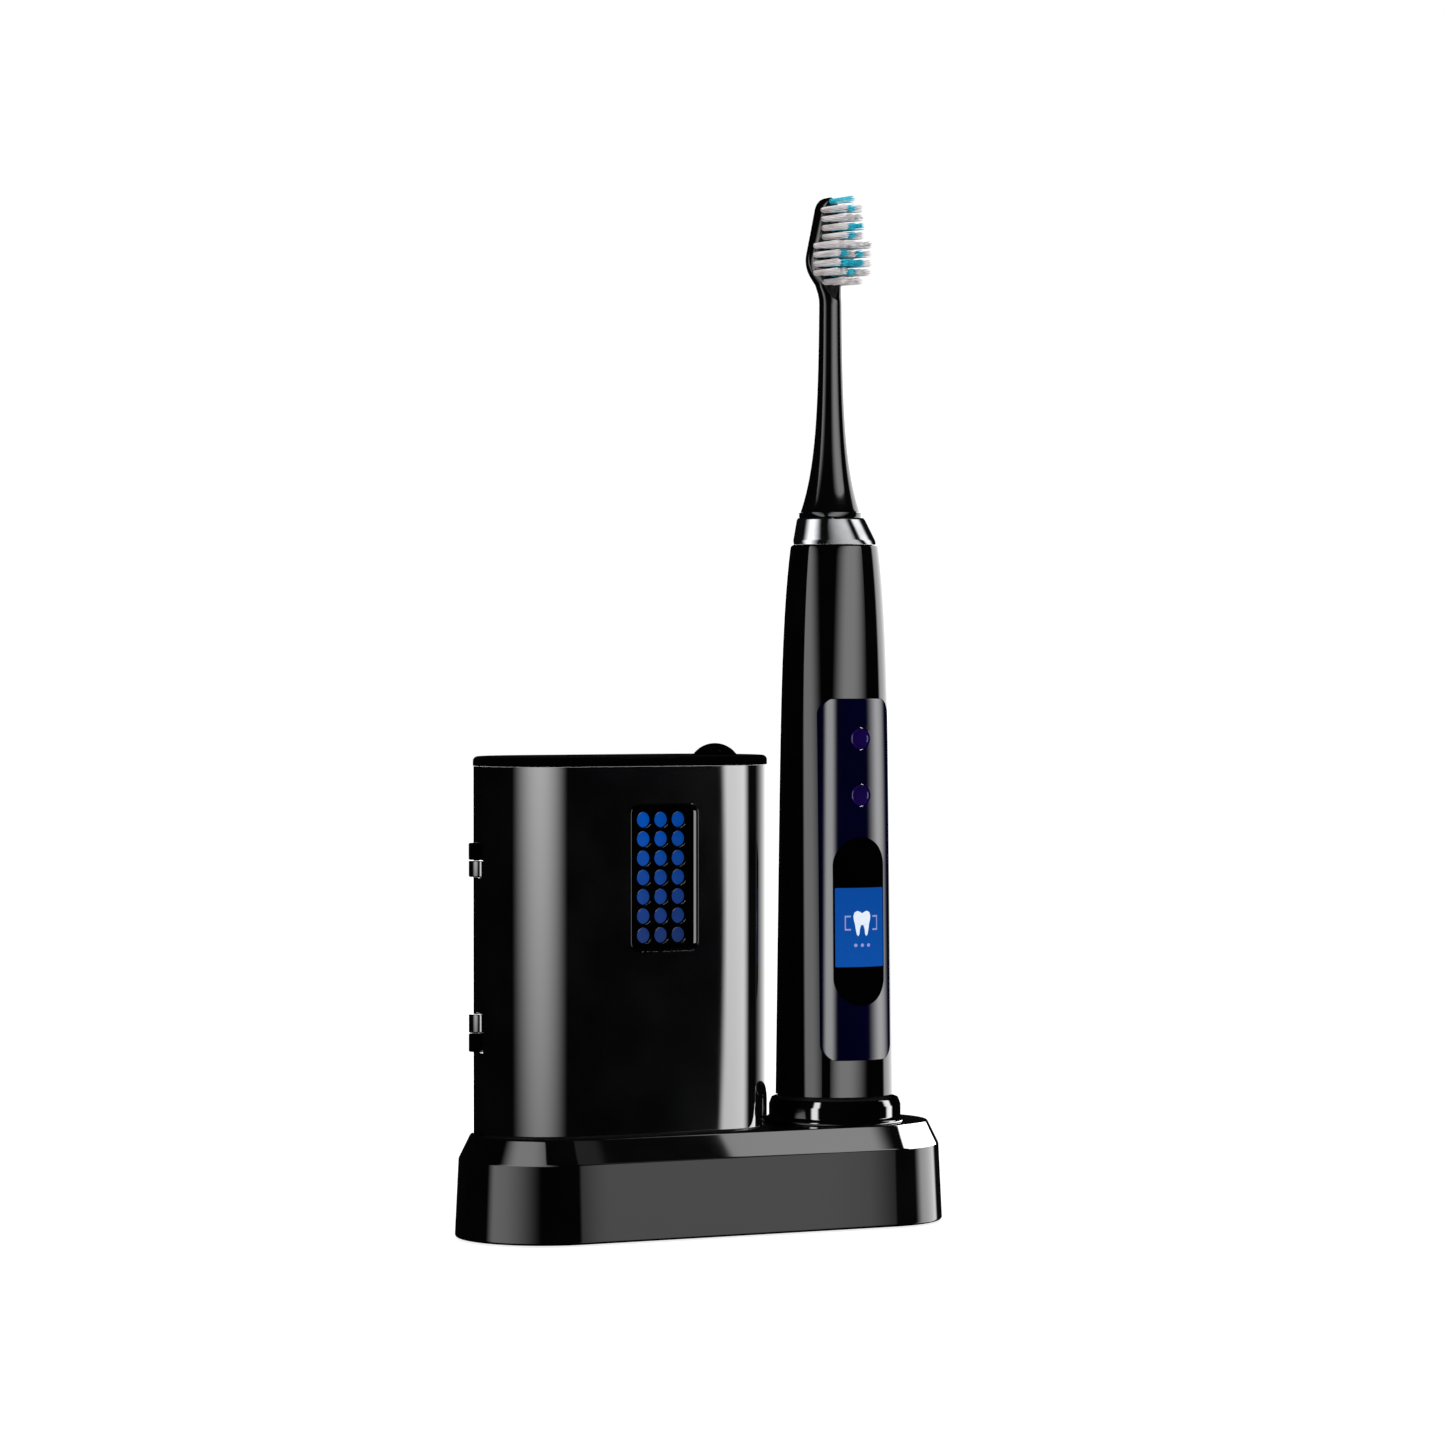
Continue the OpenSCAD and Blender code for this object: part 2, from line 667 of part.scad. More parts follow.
module handle_board() color("darkgreen") translate([seat_x, 0, 0]) {
  translate([-7, board_y, 46]) cube([14, 1.2, 96]);
  translate([-5, board_y - 0.9, 52]) cube([5, 0.9, 5]);
  translate([-5.5, board_y - 2.4, screen_low - 1]) cube([11, 2.4, screen_high - screen_low + 2]);
  for (z = [power_z, mode_z])
    translate([-2, board_y - 1.2, z - 2]) cube([4, 1.2, 4]);
}

module motor_case() color([0.62, 0.62, 0.64]) translate([seat_x, neck_y, 0]) difference() {
  translate([0, 0, 104]) cylinder(h = 54, r = 7.6);
  translate([0, 0, 105.4]) cylinder(h = 51.2, r = 6.9);
  translate([0, 0, 103]) cylinder(h = 60, r = 4.5);
}

module motor_coils() color("peru") translate([seat_x, neck_y, 112]) difference() {
  cylinder(h = 38, r = 6.8);
  translate([0, 0, -1]) cylinder(h = 40, r = 4.7);
}

module shaft_bearings() color("darkgoldenrod") translate([seat_x, neck_y, 0])
  for (z = [104, 154.4]) translate([0, 0, z]) difference() {
    cylinder(h = 3.6, r = 4.5);
    translate([0, 0, -1]) cylinder(h = 6, r = shaft_bore);
  }

module drive_shaft() color("silver") translate([seat_x, neck_y, 106])
  cylinder(h = 99, r = shaft_radius);

module rotor_magnets() color([0.4, 0.4, 0.42]) translate([seat_x, neck_y, 114]) difference() {
  cylinder(h = 34, r = 4.2);
  translate([0, 0, -1]) cylinder(h = 36, r = shaft_bore);
}

// ---- Brush head ----

// Radius of the stem at height z: it narrows fast above the cuff, and then hardly at all
function stem_r(z) = stem_radius + (cuff_radius - stem_radius) * exp((cuff_z - z) / stem_decay);

// Half the width of the bristle plate at height z, inside an outline of two joined circles
function paddle_half(z) =
  let (gap = paddle_tip_z - paddle_low_z, lean = (paddle_radius - paddle_tip) / gap)
  z < paddle_low_z + paddle_radius * lean
    ? sqrt(max(0, paddle_radius ^ 2 - (z - paddle_low_z) ^ 2))
    : z > paddle_tip_z + paddle_tip * lean
      ? sqrt(max(0, paddle_tip ^ 2 - (z - paddle_tip_z) ^ 2))
      : (paddle_radius - (z - paddle_low_z) * lean) / sqrt(1 - lean ^ 2);

// Moves children to the bristle plate's frame, which faces -Y
module on_head() {
  translate([seat_x, neck_y, 0]) rotate([0, 0, head_yaw]) children();
}

module paddle_outline() {
  lean = asin((paddle_radius - paddle_tip) / (paddle_tip_z - paddle_low_z));
  translate([0, paddle_low_z]) circle(paddle_radius);
  translate([0, paddle_tip_z]) circle(paddle_tip);
  polygon([
    for (end = [[paddle_radius, paddle_low_z, 1], [paddle_tip, paddle_tip_z, 1],
                [paddle_tip, paddle_tip_z, -1], [paddle_radius, paddle_low_z, -1]])
      [end[2] * end[0] * cos(lean), end[1] + end[0] * sin(lean)]
  ]);
}

module brush_neck() color([0.02, 0.02, 0.02]) {
  steps = 22;
  stem_end = paddle_low + 3;
  difference() {
    translate([seat_x, neck_y, 0]) rotate_extrude() polygon(concat(
      [[0, cuff_z]],
      [for (i = [0 : steps]) let (z = cuff_z + (stem_end - cuff_z) * i / steps) [stem_r(z), z]],
      [[0, stem_end]]
    ));
    translate([seat_x, neck_y, cuff_z - 1]) cylinder(h = 17, r = 3.2);
    // Flat in front of the bristles, where the stem runs into the plate
    on_head() translate([-10, paddle_front - 20, paddle_low]) cube([20, 20, 10]);
  }
  on_head() intersection() {
    translate([0, paddle_back, 0]) rotate([90, 0, 0])
      linear_extrude(paddle_back - paddle_front) paddle_outline();
    translate([0, -8, 0]) cylinder(h = 300, r = 8 + paddle_back);
  }
}

module shaft_socket() color([0.7, 0.7, 0.72]) translate([seat_x, neck_y, cuff_z + 0.6]) difference() {
  cylinder(h = 15, r = 3.15);
  translate([0, 0, -1]) cylinder(h = 20, r = shaft_bore);
}

// Whether a tuft is blue: the whole top row, and in the other rows the tufts of a zigzag down the middle
function tuft_blue(row, column) = let (aside = abs(column))
  row == tuft_rows - 1
  || (aside == 0 && (row % 4 == 1 || row == tuft_rows - 2))
  || (aside <= 1 && row % 4 == 2)
  || (aside == 1 && row == 3);

module tufts(blue) {
  on_head() for (row = [0 : tuft_rows - 1], column = [-2 : 2]) {
    z = paddle_low + 1 + row * tuft_pitch;
    if (abs(column) * column_pitch < paddle_half(z) - 0.6 && tuft_blue(row, column) == blue)
      translate([column * column_pitch, paddle_front, z]) rotate([90, 0, 0])
        cylinder(h = bristle_length - (row % 2) * 0.8, r = tuft_radius, $fn = 24);
  }
}

module white_bristles() color([0.75, 0.74, 0.74]) tufts(false);
module blue_bristles() color([0.2, 0.62, 0.75]) tufts(true);

base_shell();
bottom_plate();
rubber_feet();
base_screws();
cord_gland();
charger_board();
charging_seat();
charging_post();
coil_core();
primary_coil();
cabinet_back();
cabinet_floor();
head_pegs();
service_tray();
cabinet_cap();
cabinet_screws();
uv_lamp();
lamp_clips();
lamp_reflector();
lamp_board();
button_switch();
button_spring();
hinge_pins();
door_magnet();
uv_button();
door_shell();
window_grille();
window_lens();
strike_plate();
handle_shell();
control_panel();
display_lens();
display_screen();
chrome_ring();
shaft_seal();
end_cap();
end_cap_seal();
secondary_coil();
inner_frame();
battery();
handle_board();
motor_case();
motor_coils();
shaft_bearings();
power_button();
mode_button();
drive_shaft();
rotor_magnets();
brush_neck();
shaft_socket();
white_bristles();
blue_bristles();
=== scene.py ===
"""Looks of a sonic toothbrush standing in its charging base, beside a steriliser cabinet.

The object's lengths are millimetres in the CAD's own frame, and become metres as a mesh is made.
The floor, the camera and the lights are placed in metres.
"""
import math
import random

import bmesh
import bpy
from mathutils import Matrix, Vector


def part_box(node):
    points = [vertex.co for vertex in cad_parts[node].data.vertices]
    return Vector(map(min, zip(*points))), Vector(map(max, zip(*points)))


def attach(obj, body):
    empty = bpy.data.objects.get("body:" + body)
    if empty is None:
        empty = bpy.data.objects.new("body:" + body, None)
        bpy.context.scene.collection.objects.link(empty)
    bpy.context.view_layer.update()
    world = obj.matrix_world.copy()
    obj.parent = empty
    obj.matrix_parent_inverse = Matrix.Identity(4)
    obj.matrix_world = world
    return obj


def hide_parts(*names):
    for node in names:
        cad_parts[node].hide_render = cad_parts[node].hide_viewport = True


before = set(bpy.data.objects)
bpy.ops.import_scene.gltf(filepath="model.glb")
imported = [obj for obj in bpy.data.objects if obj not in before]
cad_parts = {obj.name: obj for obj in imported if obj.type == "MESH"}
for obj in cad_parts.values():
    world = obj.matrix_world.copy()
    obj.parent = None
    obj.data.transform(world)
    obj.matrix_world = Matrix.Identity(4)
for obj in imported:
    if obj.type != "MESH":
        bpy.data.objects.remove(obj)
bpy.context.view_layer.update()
MM = 0.001
TAU = 2 * math.pi


# ---- Places, from the frame ----

def box_mm(node):
    """Lowest and highest corner of a CAD node, in millimetres."""
    low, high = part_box(node)
    return Vector(low) / MM, Vector(high) / MM


BASE_LOW, BASE_HIGH = box_mm("base_shell")
BASE_END = BASE_HIGH.y
BASE_HALF = BASE_HIGH.x - BASE_END
BASE_TOP = BASE_HIGH.z
BEVEL_START = BASE_TOP - 6.3
BASE_DRAFT = 1.1
BEVEL_INSET = 3.1
# Inside of the housing, open below, as (radius of its round ends, height)
BASE_INSIDE = [(BASE_END - 2, -5), (BASE_END - 3.2, BASE_TOP - 7), (BASE_END - 6, BASE_TOP - 2)]
GLAND_HOLE = 3.3
GLAND_Z = 11

CAP_LOW, CAP_HIGH = box_mm("cabinet_cap")
CABINET_R = CAP_HIGH.y
CABINET_X = (CAP_LOW.x + CAP_HIGH.x) / 2
CABINET_HALF = (CAP_HIGH.x - CAP_LOW.x) / 2 - CABINET_R
CABINET_WALL = 1.8
CAP_ROUND = 2.0
CAP_START, CABINET_TOP = box_mm("service_tray")[1].z, CAP_HIGH.z
DOOR_FOOT = box_mm("door_shell")[0].z
WALL_TOP = CAP_START - 0.01
WALL_EDGE = 0.08
DOME_LOW, DOME_HIGH = box_mm("uv_button")
DOME_X = (DOME_LOW.x + DOME_HIGH.x) / 2
DOME_SPHERE = 7.2
DOME_RISE = DOME_HIGH.z - CABINET_TOP
DOME_R = math.sqrt(DOME_SPHERE ** 2 - (DOME_SPHERE - DOME_RISE) ** 2)
HINGE_X = (box_mm("hinge_pins")[0].x + box_mm("hinge_pins")[1].x) / 2
PIN_R = 0.9
KNUCKLE_R = 2.0
CABINET_LEFT = CABINET_X - CABINET_HALF - CABINET_R
# Hinge knuckles as (low, high): the door's are the inner ones of the two hinges
DOOR_KNUCKLES = [(54.9, 59.8), (95.8, 100.1)]
BACK_KNUCKLES = [(49.9, 54.7), (100.3, 104.7)]

GRILLE_LOW, GRILLE_HIGH = box_mm("window_grille")
WINDOW_X = (GRILLE_LOW.x + GRILLE_HIGH.x) / 2
WINDOW_Z = (GRILLE_LOW.z + GRILLE_HIGH.z) / 2
WINDOW_W = GRILLE_HIGH.x - GRILLE_LOW.x - 3
WINDOW_H = GRILLE_HIGH.z - GRILLE_LOW.z - 3
GRILLE_PITCH = 5.07
GRILLE_HOLE = 2.05
GRILLE_LIP = 0.22

SEAT_LOW, SEAT_HIGH = box_mm("charging_seat")
SEAT_X = (SEAT_LOW.x + SEAT_HIGH.x) / 2
SEAT_R = SEAT_HIGH.y
SEAT_RIM = SEAT_HIGH.z

SHELL_LOW, SHELL_HIGH = box_mm("handle_shell")
HANDLE_FOOT = box_mm("end_cap")[0].z
HANDLE_TOP = SHELL_HIGH.z
HANDLE_R = 16.2
HANDLE_WALL = 1.8
SHOULDER_R = 11.7
KEY_R = 2.85
RING_FOOT_R = 11.5
RING_TOP_R = 9.1
RING_BORE = 6.0
NECK_Y = sum(corner.y for corner in box_mm("drive_shaft")) / 2
RING_TOP = box_mm("chrome_ring")[1].z

STEM_LOW, STEM_HIGH = box_mm("brush_neck")
CUFF_Z, HEAD_TOP = STEM_LOW.z, STEM_HIGH.z
CUFF_R = (STEM_HIGH.x - STEM_LOW.x) / 2
HEAD_YAW = math.radians(9.5)
STEM_R = 3.0
STEM_BORE = 3.2
PADDLE_R = 6.9
PADDLE_TIP = 3.6
PADDLE_THICK = 2.05
PADDLE_LOW = HEAD_TOP - 24.2
TUFT_ROWS = 10
TUFT_PITCH = 2.45
COLUMN_PITCH = 2.55


# ---- Outlines ----

def rounded(points, radii, steps=6):
    """The polyline through points, with an arc of that radius at each inner corner."""
    out = [Vector(points[0])]
    for before, corner, after, radius in zip(points, points[1:], points[2:], radii):
        before, corner, after = Vector(before), Vector(corner), Vector(after)
        a, b = (before - corner).normalized(), (after - corner).normalized()
        half = a.angle(b) / 2
        if radius <= 0 or abs(half - math.pi / 2) < 0.01:
            out.append(corner)
            continue
        reach = min(radius / math.tan(half), (before - corner).length * 0.5, (after - corner).length * 0.5)
        radius = reach * math.tan(half)
        centre = corner + (a + b).normalized() * (radius / math.sin(half))
        start, end = corner + a * reach - centre, corner + b * reach - centre
        turn = start.angle_signed(end)
        for i in range(steps + 1):
            out.append(centre + Matrix.Rotation(-turn * i / steps, 2) @ start)
    out.append(Vector(points[-1]))
    return out


def held(points, margin=0.12):
    """The polyline with a point near both ends of each long straight, so that it shades as a flat."""
    out = [points[0]]
    for a, b in zip(points, points[1:]):
        step = b - a
        if step.length > 8 * margin:
            out += [a + step.normalized() * margin, b - step.normalized() * margin]
        out.append(b)
    return out


def circle_ring(x, y, radius, z, count=96):
    """Points of a level circle."""
    return [(x + radius * math.cos(TAU * i / count), y + radius * math.sin(TAU * i / count), z)
            for i in range(count)]


def stadium_ring(x, half, radius, z, arc=36, straight=12):
    """Points of a level outline with two round ends."""
    points = []
    for side in (1, -1):
        for i in range(arc + 1):
            angle = math.pi * i / arc - side * math.pi / 2
            points.append((x + side * half + radius * math.cos(angle), radius * math.sin(angle), z))
        for i in range(1, straight):
            share = 1 - 2 * i / straight
            points.append((x + side * half * share, side * radius, z))
    return points


def half_path(x, half, side, arc=32, straight=14, gap=0.15):
    """Stations along half of a cabinet wall, as (centre x, angle): side 1 is the back, -1 the front."""
    lean = math.asin(gap / CABINET_R)
    stations = []
    for i in range(arc + 1):
        stations.append((x - half, math.pi - lean - (math.pi / 2 - lean) * i / arc))
    for i in range(1, straight):
        stations.append((x - half + 2 * half * i / straight, math.pi / 2))
    for i in range(arc + 1):
        stations.append((x + half, math.pi / 2 - (math.pi / 2 - lean) * i / arc))
    return [(cx, side * angle) for cx, angle in stations]


# ---- Meshes ----

class Shape:
    """Vertices and faces of a piece that is being put together, in millimetres."""

    def __init__(self):
        self.verts, self.faces = [], []

    def loft(self, rings, closed=True, caps=(True, True)):
        """Skin over rings with the same number of points."""
        start, count = len(self.verts), len(rings[0])
        for ring in rings:
            self.verts += [tuple(point) for point in ring]
        for i in range(len(rings) - 1):
            for k in range(count if closed else count - 1):
                j = (k + 1) % count
                a, b = start + i * count, start + (i + 1) * count
                self.faces.append((a + k, a + j, b + j, b + k))
        last = start + (len(rings) - 1) * count
        if caps[0]:
            self.faces.append(tuple(range(start + count - 1, start - 1, -1)))
        if caps[1]:
            self.faces.append(tuple(range(last, last + count)))
        return self

    def lathe(self, profile, x=0.0, y=0.0, count=96, caps=(True, True)):
        """Skin of a turned shape: profile is (radius, height) from one end to the other."""
        return self.loft([circle_ring(x, y, max(p[0], 0.01), p[1], count) for p in profile], caps=caps)

    def add(self, other):
        """Takes in another shape."""
        start = len(self.verts)
        self.verts += other.verts
        self.faces += [tuple(i + start for i in face) for face in other.faces]

    def moved(self, matrix):
        """The same shape, placed by a 4x4 matrix in millimetres."""
        self.verts = [tuple(matrix @ Vector(v)) for v in self.verts]
        return self

    def mesh(self, name, sharp=32):
        """A Blender mesh of it in metres, with smooth faces and sharp edges past that angle."""
        mesh = bpy.data.meshes.new(name)
        mesh.from_pydata([Vector(v) * MM for v in self.verts], [], self.faces)
        tidy_mesh(mesh, sharp)
        return mesh


def tidy_mesh(mesh, sharp=32):
    """Merges doubles, turns the normals outwards and sets the shading."""
    bm = bmesh.new()
    bm.from_mesh(mesh)
    bmesh.ops.remove_doubles(bm, verts=bm.verts, dist=2e-6)
    bmesh.ops.recalc_face_normals(bm, faces=bm.faces)
    bm.to_mesh(mesh)
    bm.free()
    mesh.polygons.foreach_set("use_smooth", [True] * len(mesh.polygons))
    mesh.set_sharp_from_angle(angle=math.radians(sharp))
    mesh.update()


def placed(name, data):
    """A new object in the scene."""
    obj = bpy.data.objects.new(name, data)
    bpy.context.scene.collection.objects.link(obj)
    return obj


def piece(name, shape, look, body, replaces=(), sharp=32, cutters=()):
    """A visible piece: its shape less its cutters, on a body, in place of the CAD nodes it replaces."""
    obj = placed(name, shape.mesh(name, sharp))
    for cutter in cutters:
        carve(obj, cutter, sharp)
    obj.data.materials.clear()
    obj.data.materials.append(look)
    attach(obj, body)
    if replaces:
        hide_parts(*replaces)
    return obj


def carve(obj, cutter, sharp):
    """Cuts a shape out of an object's mesh for good."""
    tool = placed("cutter", cutter.mesh("cutter"))
    cut = obj.modifiers.new("cut", "BOOLEAN")
    cut.operation, cut.solver, cut.object = "DIFFERENCE", "EXACT", tool
    bpy.context.view_layer.update()
    result = bpy.data.meshes.new_from_object(obj.evaluated_get(bpy.context.evaluated_depsgraph_get()))
    obj.modifiers.clear()
    obj.data = result
    bpy.data.objects.remove(tool)
    tidy_mesh(result, sharp)


def rounded_rect(width, height, corner, steps=8):
    """Points (x, z) round a rectangle with round corners."""
    points = []
    for quarter, (sx, sz) in enumerate(((1, 1), (-1, 1), (-1, -1), (1, -1))):
        for i in range(steps + 1):
            angle = (quarter + i / steps) * math.pi / 2
            points.append((sx * (width / 2 - corner) + corner * math.cos(angle),
                           sz * (height / 2 - corner) + corner * math.sin(angle)))
    return points


# ---- Materials ----

def material(name, color, roughness, metallic=0.0, specular=0.5):
    """A Principled material, its node tree and its shader."""
    mat = bpy.data.materials.new(name)
    mat.use_nodes = True
    shader = mat.node_tree.nodes["Principled BSDF"]
    shader.inputs["Base Color"].default_value = (*color, 1)
    shader.inputs["Roughness"].default_value = roughness
    shader.inputs["Metallic"].default_value = metallic
    shader.inputs["Specular IOR Level"].default_value = specular
    return mat, mat.node_tree, shader


def noise(tree, scale, detail=3.0, stretch=(1, 1, 1), rough=0.5):
    """A noise texture in the piece's own metres."""
    coords = tree.nodes.new("ShaderNodeTexCoord")
    mapping = tree.nodes.new("ShaderNodeMapping")
    mapping.inputs["Scale"].default_value = stretch
    texture = tree.nodes.new("ShaderNodeTexNoise")
    texture.inputs["Scale"].default_value = scale
    texture.inputs["Detail"].default_value = detail
    texture.inputs["Roughness"].default_value = rough
    tree.links.new(coords.outputs["Object"], mapping.inputs["Vector"])
    tree.links.new(mapping.outputs["Vector"], texture.inputs["Vector"])
    return texture.outputs["Fac"]


def ranged(tree, value, low, high, start=0.3, end=0.7):
    """value, stretched from start..end to low..high."""
    node = tree.nodes.new("ShaderNodeMapRange")
    node.inputs["From Min"].default_value = start
    node.inputs["From Max"].default_value = end
    node.inputs["To Min"].default_value = low
    node.inputs["To Max"].default_value = high
    tree.links.new(value, node.inputs["Value"])
    return node.outputs["Result"]


def tinted(tree, value, dark, light, start=0.35, end=0.65):
    """A colour between dark and light, as value goes from start to end."""
    ramp = tree.nodes.new("ShaderNodeValToRGB")
    ramp.color_ramp.elements[0].position, ramp.color_ramp.elements[1].position = start, end
    ramp.color_ramp.elements[0].color, ramp.color_ramp.elements[1].color = (*dark, 1), (*light, 1)
    tree.links.new(value, ramp.inputs["Fac"])
    return ramp.outputs["Color"]


def multiplied(tree, a, b):
    """Product of two values."""
    node = tree.nodes.new("ShaderNodeMath")
    node.operation = "MULTIPLY"
    tree.links.new(a, node.inputs[0])
    tree.links.new(b, node.inputs[1])
    return node.outputs["Value"]


def bump(tree, shader, height, strength, distance):
    """Roughens the surface by a height value; distance is in millimetres."""
    node = tree.nodes.new("ShaderNodeBump")
    node.inputs["Strength"].default_value = strength
    node.inputs["Distance"].default_value = distance * MM
    tree.links.new(height, node.inputs["Height"])
    tree.links.new(node.outputs["Normal"], shader.inputs["Normal"])


def gloss_plastic(name, dark, light, roughness=0.025, specular=0.5):
    """High gloss moulding: faint flow marks in its colour, smears in its shine, a trace of sink."""
    mat, tree, shader = material(name, dark, roughness, specular=specular)
    tree.links.new(tinted(tree, noise(tree, 60, 4), dark, light), shader.inputs["Base Color"])
    smears = noise(tree, 45, 6, (1, 1, 0.35), 0.62)
    tree.links.new(ranged(tree, smears, roughness, roughness * 2.2), shader.inputs["Roughness"])
    bump(tree, shader, noise(tree, 90, 1), 0.15, 0.004)
    return mat


def matt_plastic(name, dark, light, roughness=0.5, grain=0.02):
    """Moulding with a fine spark-eroded grain."""
    mat, tree, shader = material(name, dark, roughness)
    tree.links.new(tinted(tree, noise(tree, 120, 5), dark, light), shader.inputs["Base Color"])
    tree.links.new(ranged(tree, noise(tree, 300, 3), roughness * 0.8, roughness * 1.2),
                   shader.inputs["Roughness"])
    bump(tree, shader, noise(tree, 1800, 2), 0.5, grain)
    return mat


def metal(name, color, roughness, stretch=(1, 1, 14), grain=0.004):
    """Metal with fine lines along the way it was drawn or turned."""
    dark = tuple(c * 0.86 for c in color)
    mat, tree, shader = material(name, color, roughness, metallic=1.0)
    lines = noise(tree, 260, 4, stretch)
    tree.links.new(tinted(tree, lines, dark, color), shader.inputs["Base Color"])
    tree.links.new(ranged(tree, lines, roughness * 0.7, roughness * 1.5), shader.inputs["Roughness"])
    bump(tree, shader, lines, 0.2, grain)
    return mat


def height_share(tree, low, high):
    """A value from 0 at height low to 1 at height high, in millimetres, and the place's x in metres."""
    coords = tree.nodes.new("ShaderNodeTexCoord")
    split = tree.nodes.new("ShaderNodeSeparateXYZ")
    tree.links.new(coords.outputs["Object"], split.inputs["Vector"])
    return ranged(tree, split.outputs["Z"], 0, 1, low * MM, high * MM), split.outputs["X"]


def lit_pane():
    """Blue pane with a painted glow in place of the lamp's light from behind: brightest at the top left,
    where the lamp is nearest.
    """
    mat, tree, shader = material("blue_pane", (0.0, 0.01, 0.05), 0.25)
    # Painted glow: brighter towards the top and dimmer towards the right, as the lamp's light would fall
    share, x = height_share(tree, WINDOW_Z - 18, WINDOW_Z + 18)
    color = tinted(tree, share, (0.014, 0.028, 0.11), (0.0, 0.062, 0.36), 0.0, 0.9)
    side = ranged(tree, x, 1.08, 0.72, (WINDOW_X - 7) * MM, (WINDOW_X + 7) * MM)
    cloud = ranged(tree, noise(tree, 400, 2), 0.9, 1.08)
    tree.links.new(color, shader.inputs["Emission Color"])
    tree.links.new(multiplied(tree, side, cloud), shader.inputs["Emission Strength"])
    return mat


def lit_display():
    """Blue screen with a faint grid of picture elements."""
    mat, tree, shader = material("lit_display", (0.0, 0.01, 0.04), 0.12)
    share, _ = height_share(tree, 70, 91)
    color = tinted(tree, share, (0.004, 0.072, 0.35), (0.003, 0.06, 0.31), 0.0, 1.0)
    tree.links.new(color, shader.inputs["Emission Color"])
    tree.links.new(ranged(tree, noise(tree, 2600, 1), 0.93, 1.05), shader.inputs["Emission Strength"])
    return mat


def lit_ink(name, color, strength):
    """A mark on the screen, a little uneven like the screen behind it."""
    mat, tree, shader = material(name, (0.1, 0.12, 0.2), 0.3)
    dark = tuple(0.92 * c for c in color)
    tree.links.new(tinted(tree, noise(tree, 1500, 1), dark, color), shader.inputs["Emission Color"])
    shader.inputs["Emission Strength"].default_value = strength
    return mat


def filament(name, dark, light):
    """Nylon filaments, darker and lighter from one to the next."""
    mat, tree, shader = material(name, light, 0.38)
    tree.links.new(tinted(tree, noise(tree, 900, 3, (1, 0.12, 1)), dark, light, 0.3, 0.7),
                   shader.inputs["Base Color"])
    shader.inputs["Subsurface Weight"].default_value = 0.15
    shader.inputs["Subsurface Scale"].default_value = 0.0006
    bump(tree, shader, noise(tree, 1500, 2), 0.2, 0.01)
    return mat


GLOSS = gloss_plastic("gloss_black", (0.0005, 0.0005, 0.0006), (0.001, 0.001, 0.0011))
GLOSS_DOOR = gloss_plastic("gloss_black_door", (0.0004, 0.0004, 0.0005), (0.0009, 0.0009, 0.001))
GLOSS_HANDLE = gloss_plastic("gloss_black_handle", (0.0005, 0.0005, 0.0006), (0.001, 0.001, 0.0011))
GLOSS_STEM = gloss_plastic("gloss_black_stem", (0.0008, 0.0008, 0.0009), (0.0016, 0.0016, 0.0017), 0.07)
NAVY = gloss_plastic("navy_panel", (0.0002, 0.0002, 0.0075), (0.0004, 0.0005, 0.011), 0.05)
NAVY_KEY = gloss_plastic("navy_key", (0.006, 0.0004, 0.055), (0.009, 0.001, 0.075), 0.1)
COVER = gloss_plastic("display_cover", (0.0004, 0.0004, 0.0006), (0.0008, 0.0008, 0.001), 0.04)
CHROME = metal("chrome_plate", (0.86, 0.87, 0.9), 0.06, (1, 1, 1), 0.001)
STEEL = metal("bright_steel", (0.55, 0.55, 0.57), 0.24)
COPPER = metal("copper_winding", (0.72, 0.33, 0.17), 0.3, (1, 1, 30), 0.03)
BRONZE = metal("bronze_bush", (0.5, 0.34, 0.16), 0.4)
FOIL = metal("reflector_sheet", (0.8, 0.81, 0.83), 0.15)
MATT = matt_plastic("matt_black", (0.009, 0.009, 0.0095), (0.016, 0.016, 0.0165))
RUBBER = matt_plastic("black_rubber", (0.012, 0.012, 0.0125), (0.024, 0.024, 0.025), 0.75, 0.03)
SILICONE = matt_plastic("red_silicone", (0.2, 0.02, 0.012), (0.3, 0.04, 0.02), 0.45)
FERRITE = matt_plastic("ferrite", (0.03, 0.03, 0.032), (0.06, 0.06, 0.063), 0.6, 0.04)
NATURAL = matt_plastic("natural_plastic", (0.5, 0.51, 0.52), (0.62, 0.63, 0.64), 0.42)
BOARD = matt_plastic("circuit_board", (0.008, 0.08, 0.03), (0.015, 0.13, 0.05), 0.35)
WRAP = gloss_plastic("battery_wrap", (0.02, 0.16, 0.06), (0.03, 0.2, 0.08), 0.2)
PANE = lit_pane()
DISPLAY = lit_display()
WHITE_NYLON = filament("white_nylon", (0.56, 0.53, 0.53), (0.9, 0.87, 0.88))
BLUE_NYLON = filament("blue_nylon", (0.01, 0.38, 0.53), (0.06, 0.68, 0.82))
LAMP, lamp_tree, lamp_shader = material("lamp_glass", (0.72, 0.8, 0.95), 0.08)
lamp_tree.links.new(tinted(lamp_tree, noise(lamp_tree, 70, 2), (0.6, 0.7, 0.9), (0.85, 0.9, 1.0)),
                    lamp_shader.inputs["Base Color"])


# ---- Base ----

def base_profile():
    """Half section of the housing: foot, leaning side, bevel and top."""
    foot = BASE_LOW.z
    return held(rounded(
        [(BASE_END - 8, foot), (BASE_END - 0.1, foot), (BASE_END - BASE_DRAFT, BEVEL_START),
         (BASE_END - BASE_DRAFT - BEVEL_INSET, BASE_TOP), (BASE_END - 12, BASE_TOP)],
        [0.7, 1.0, 0.45], 7))


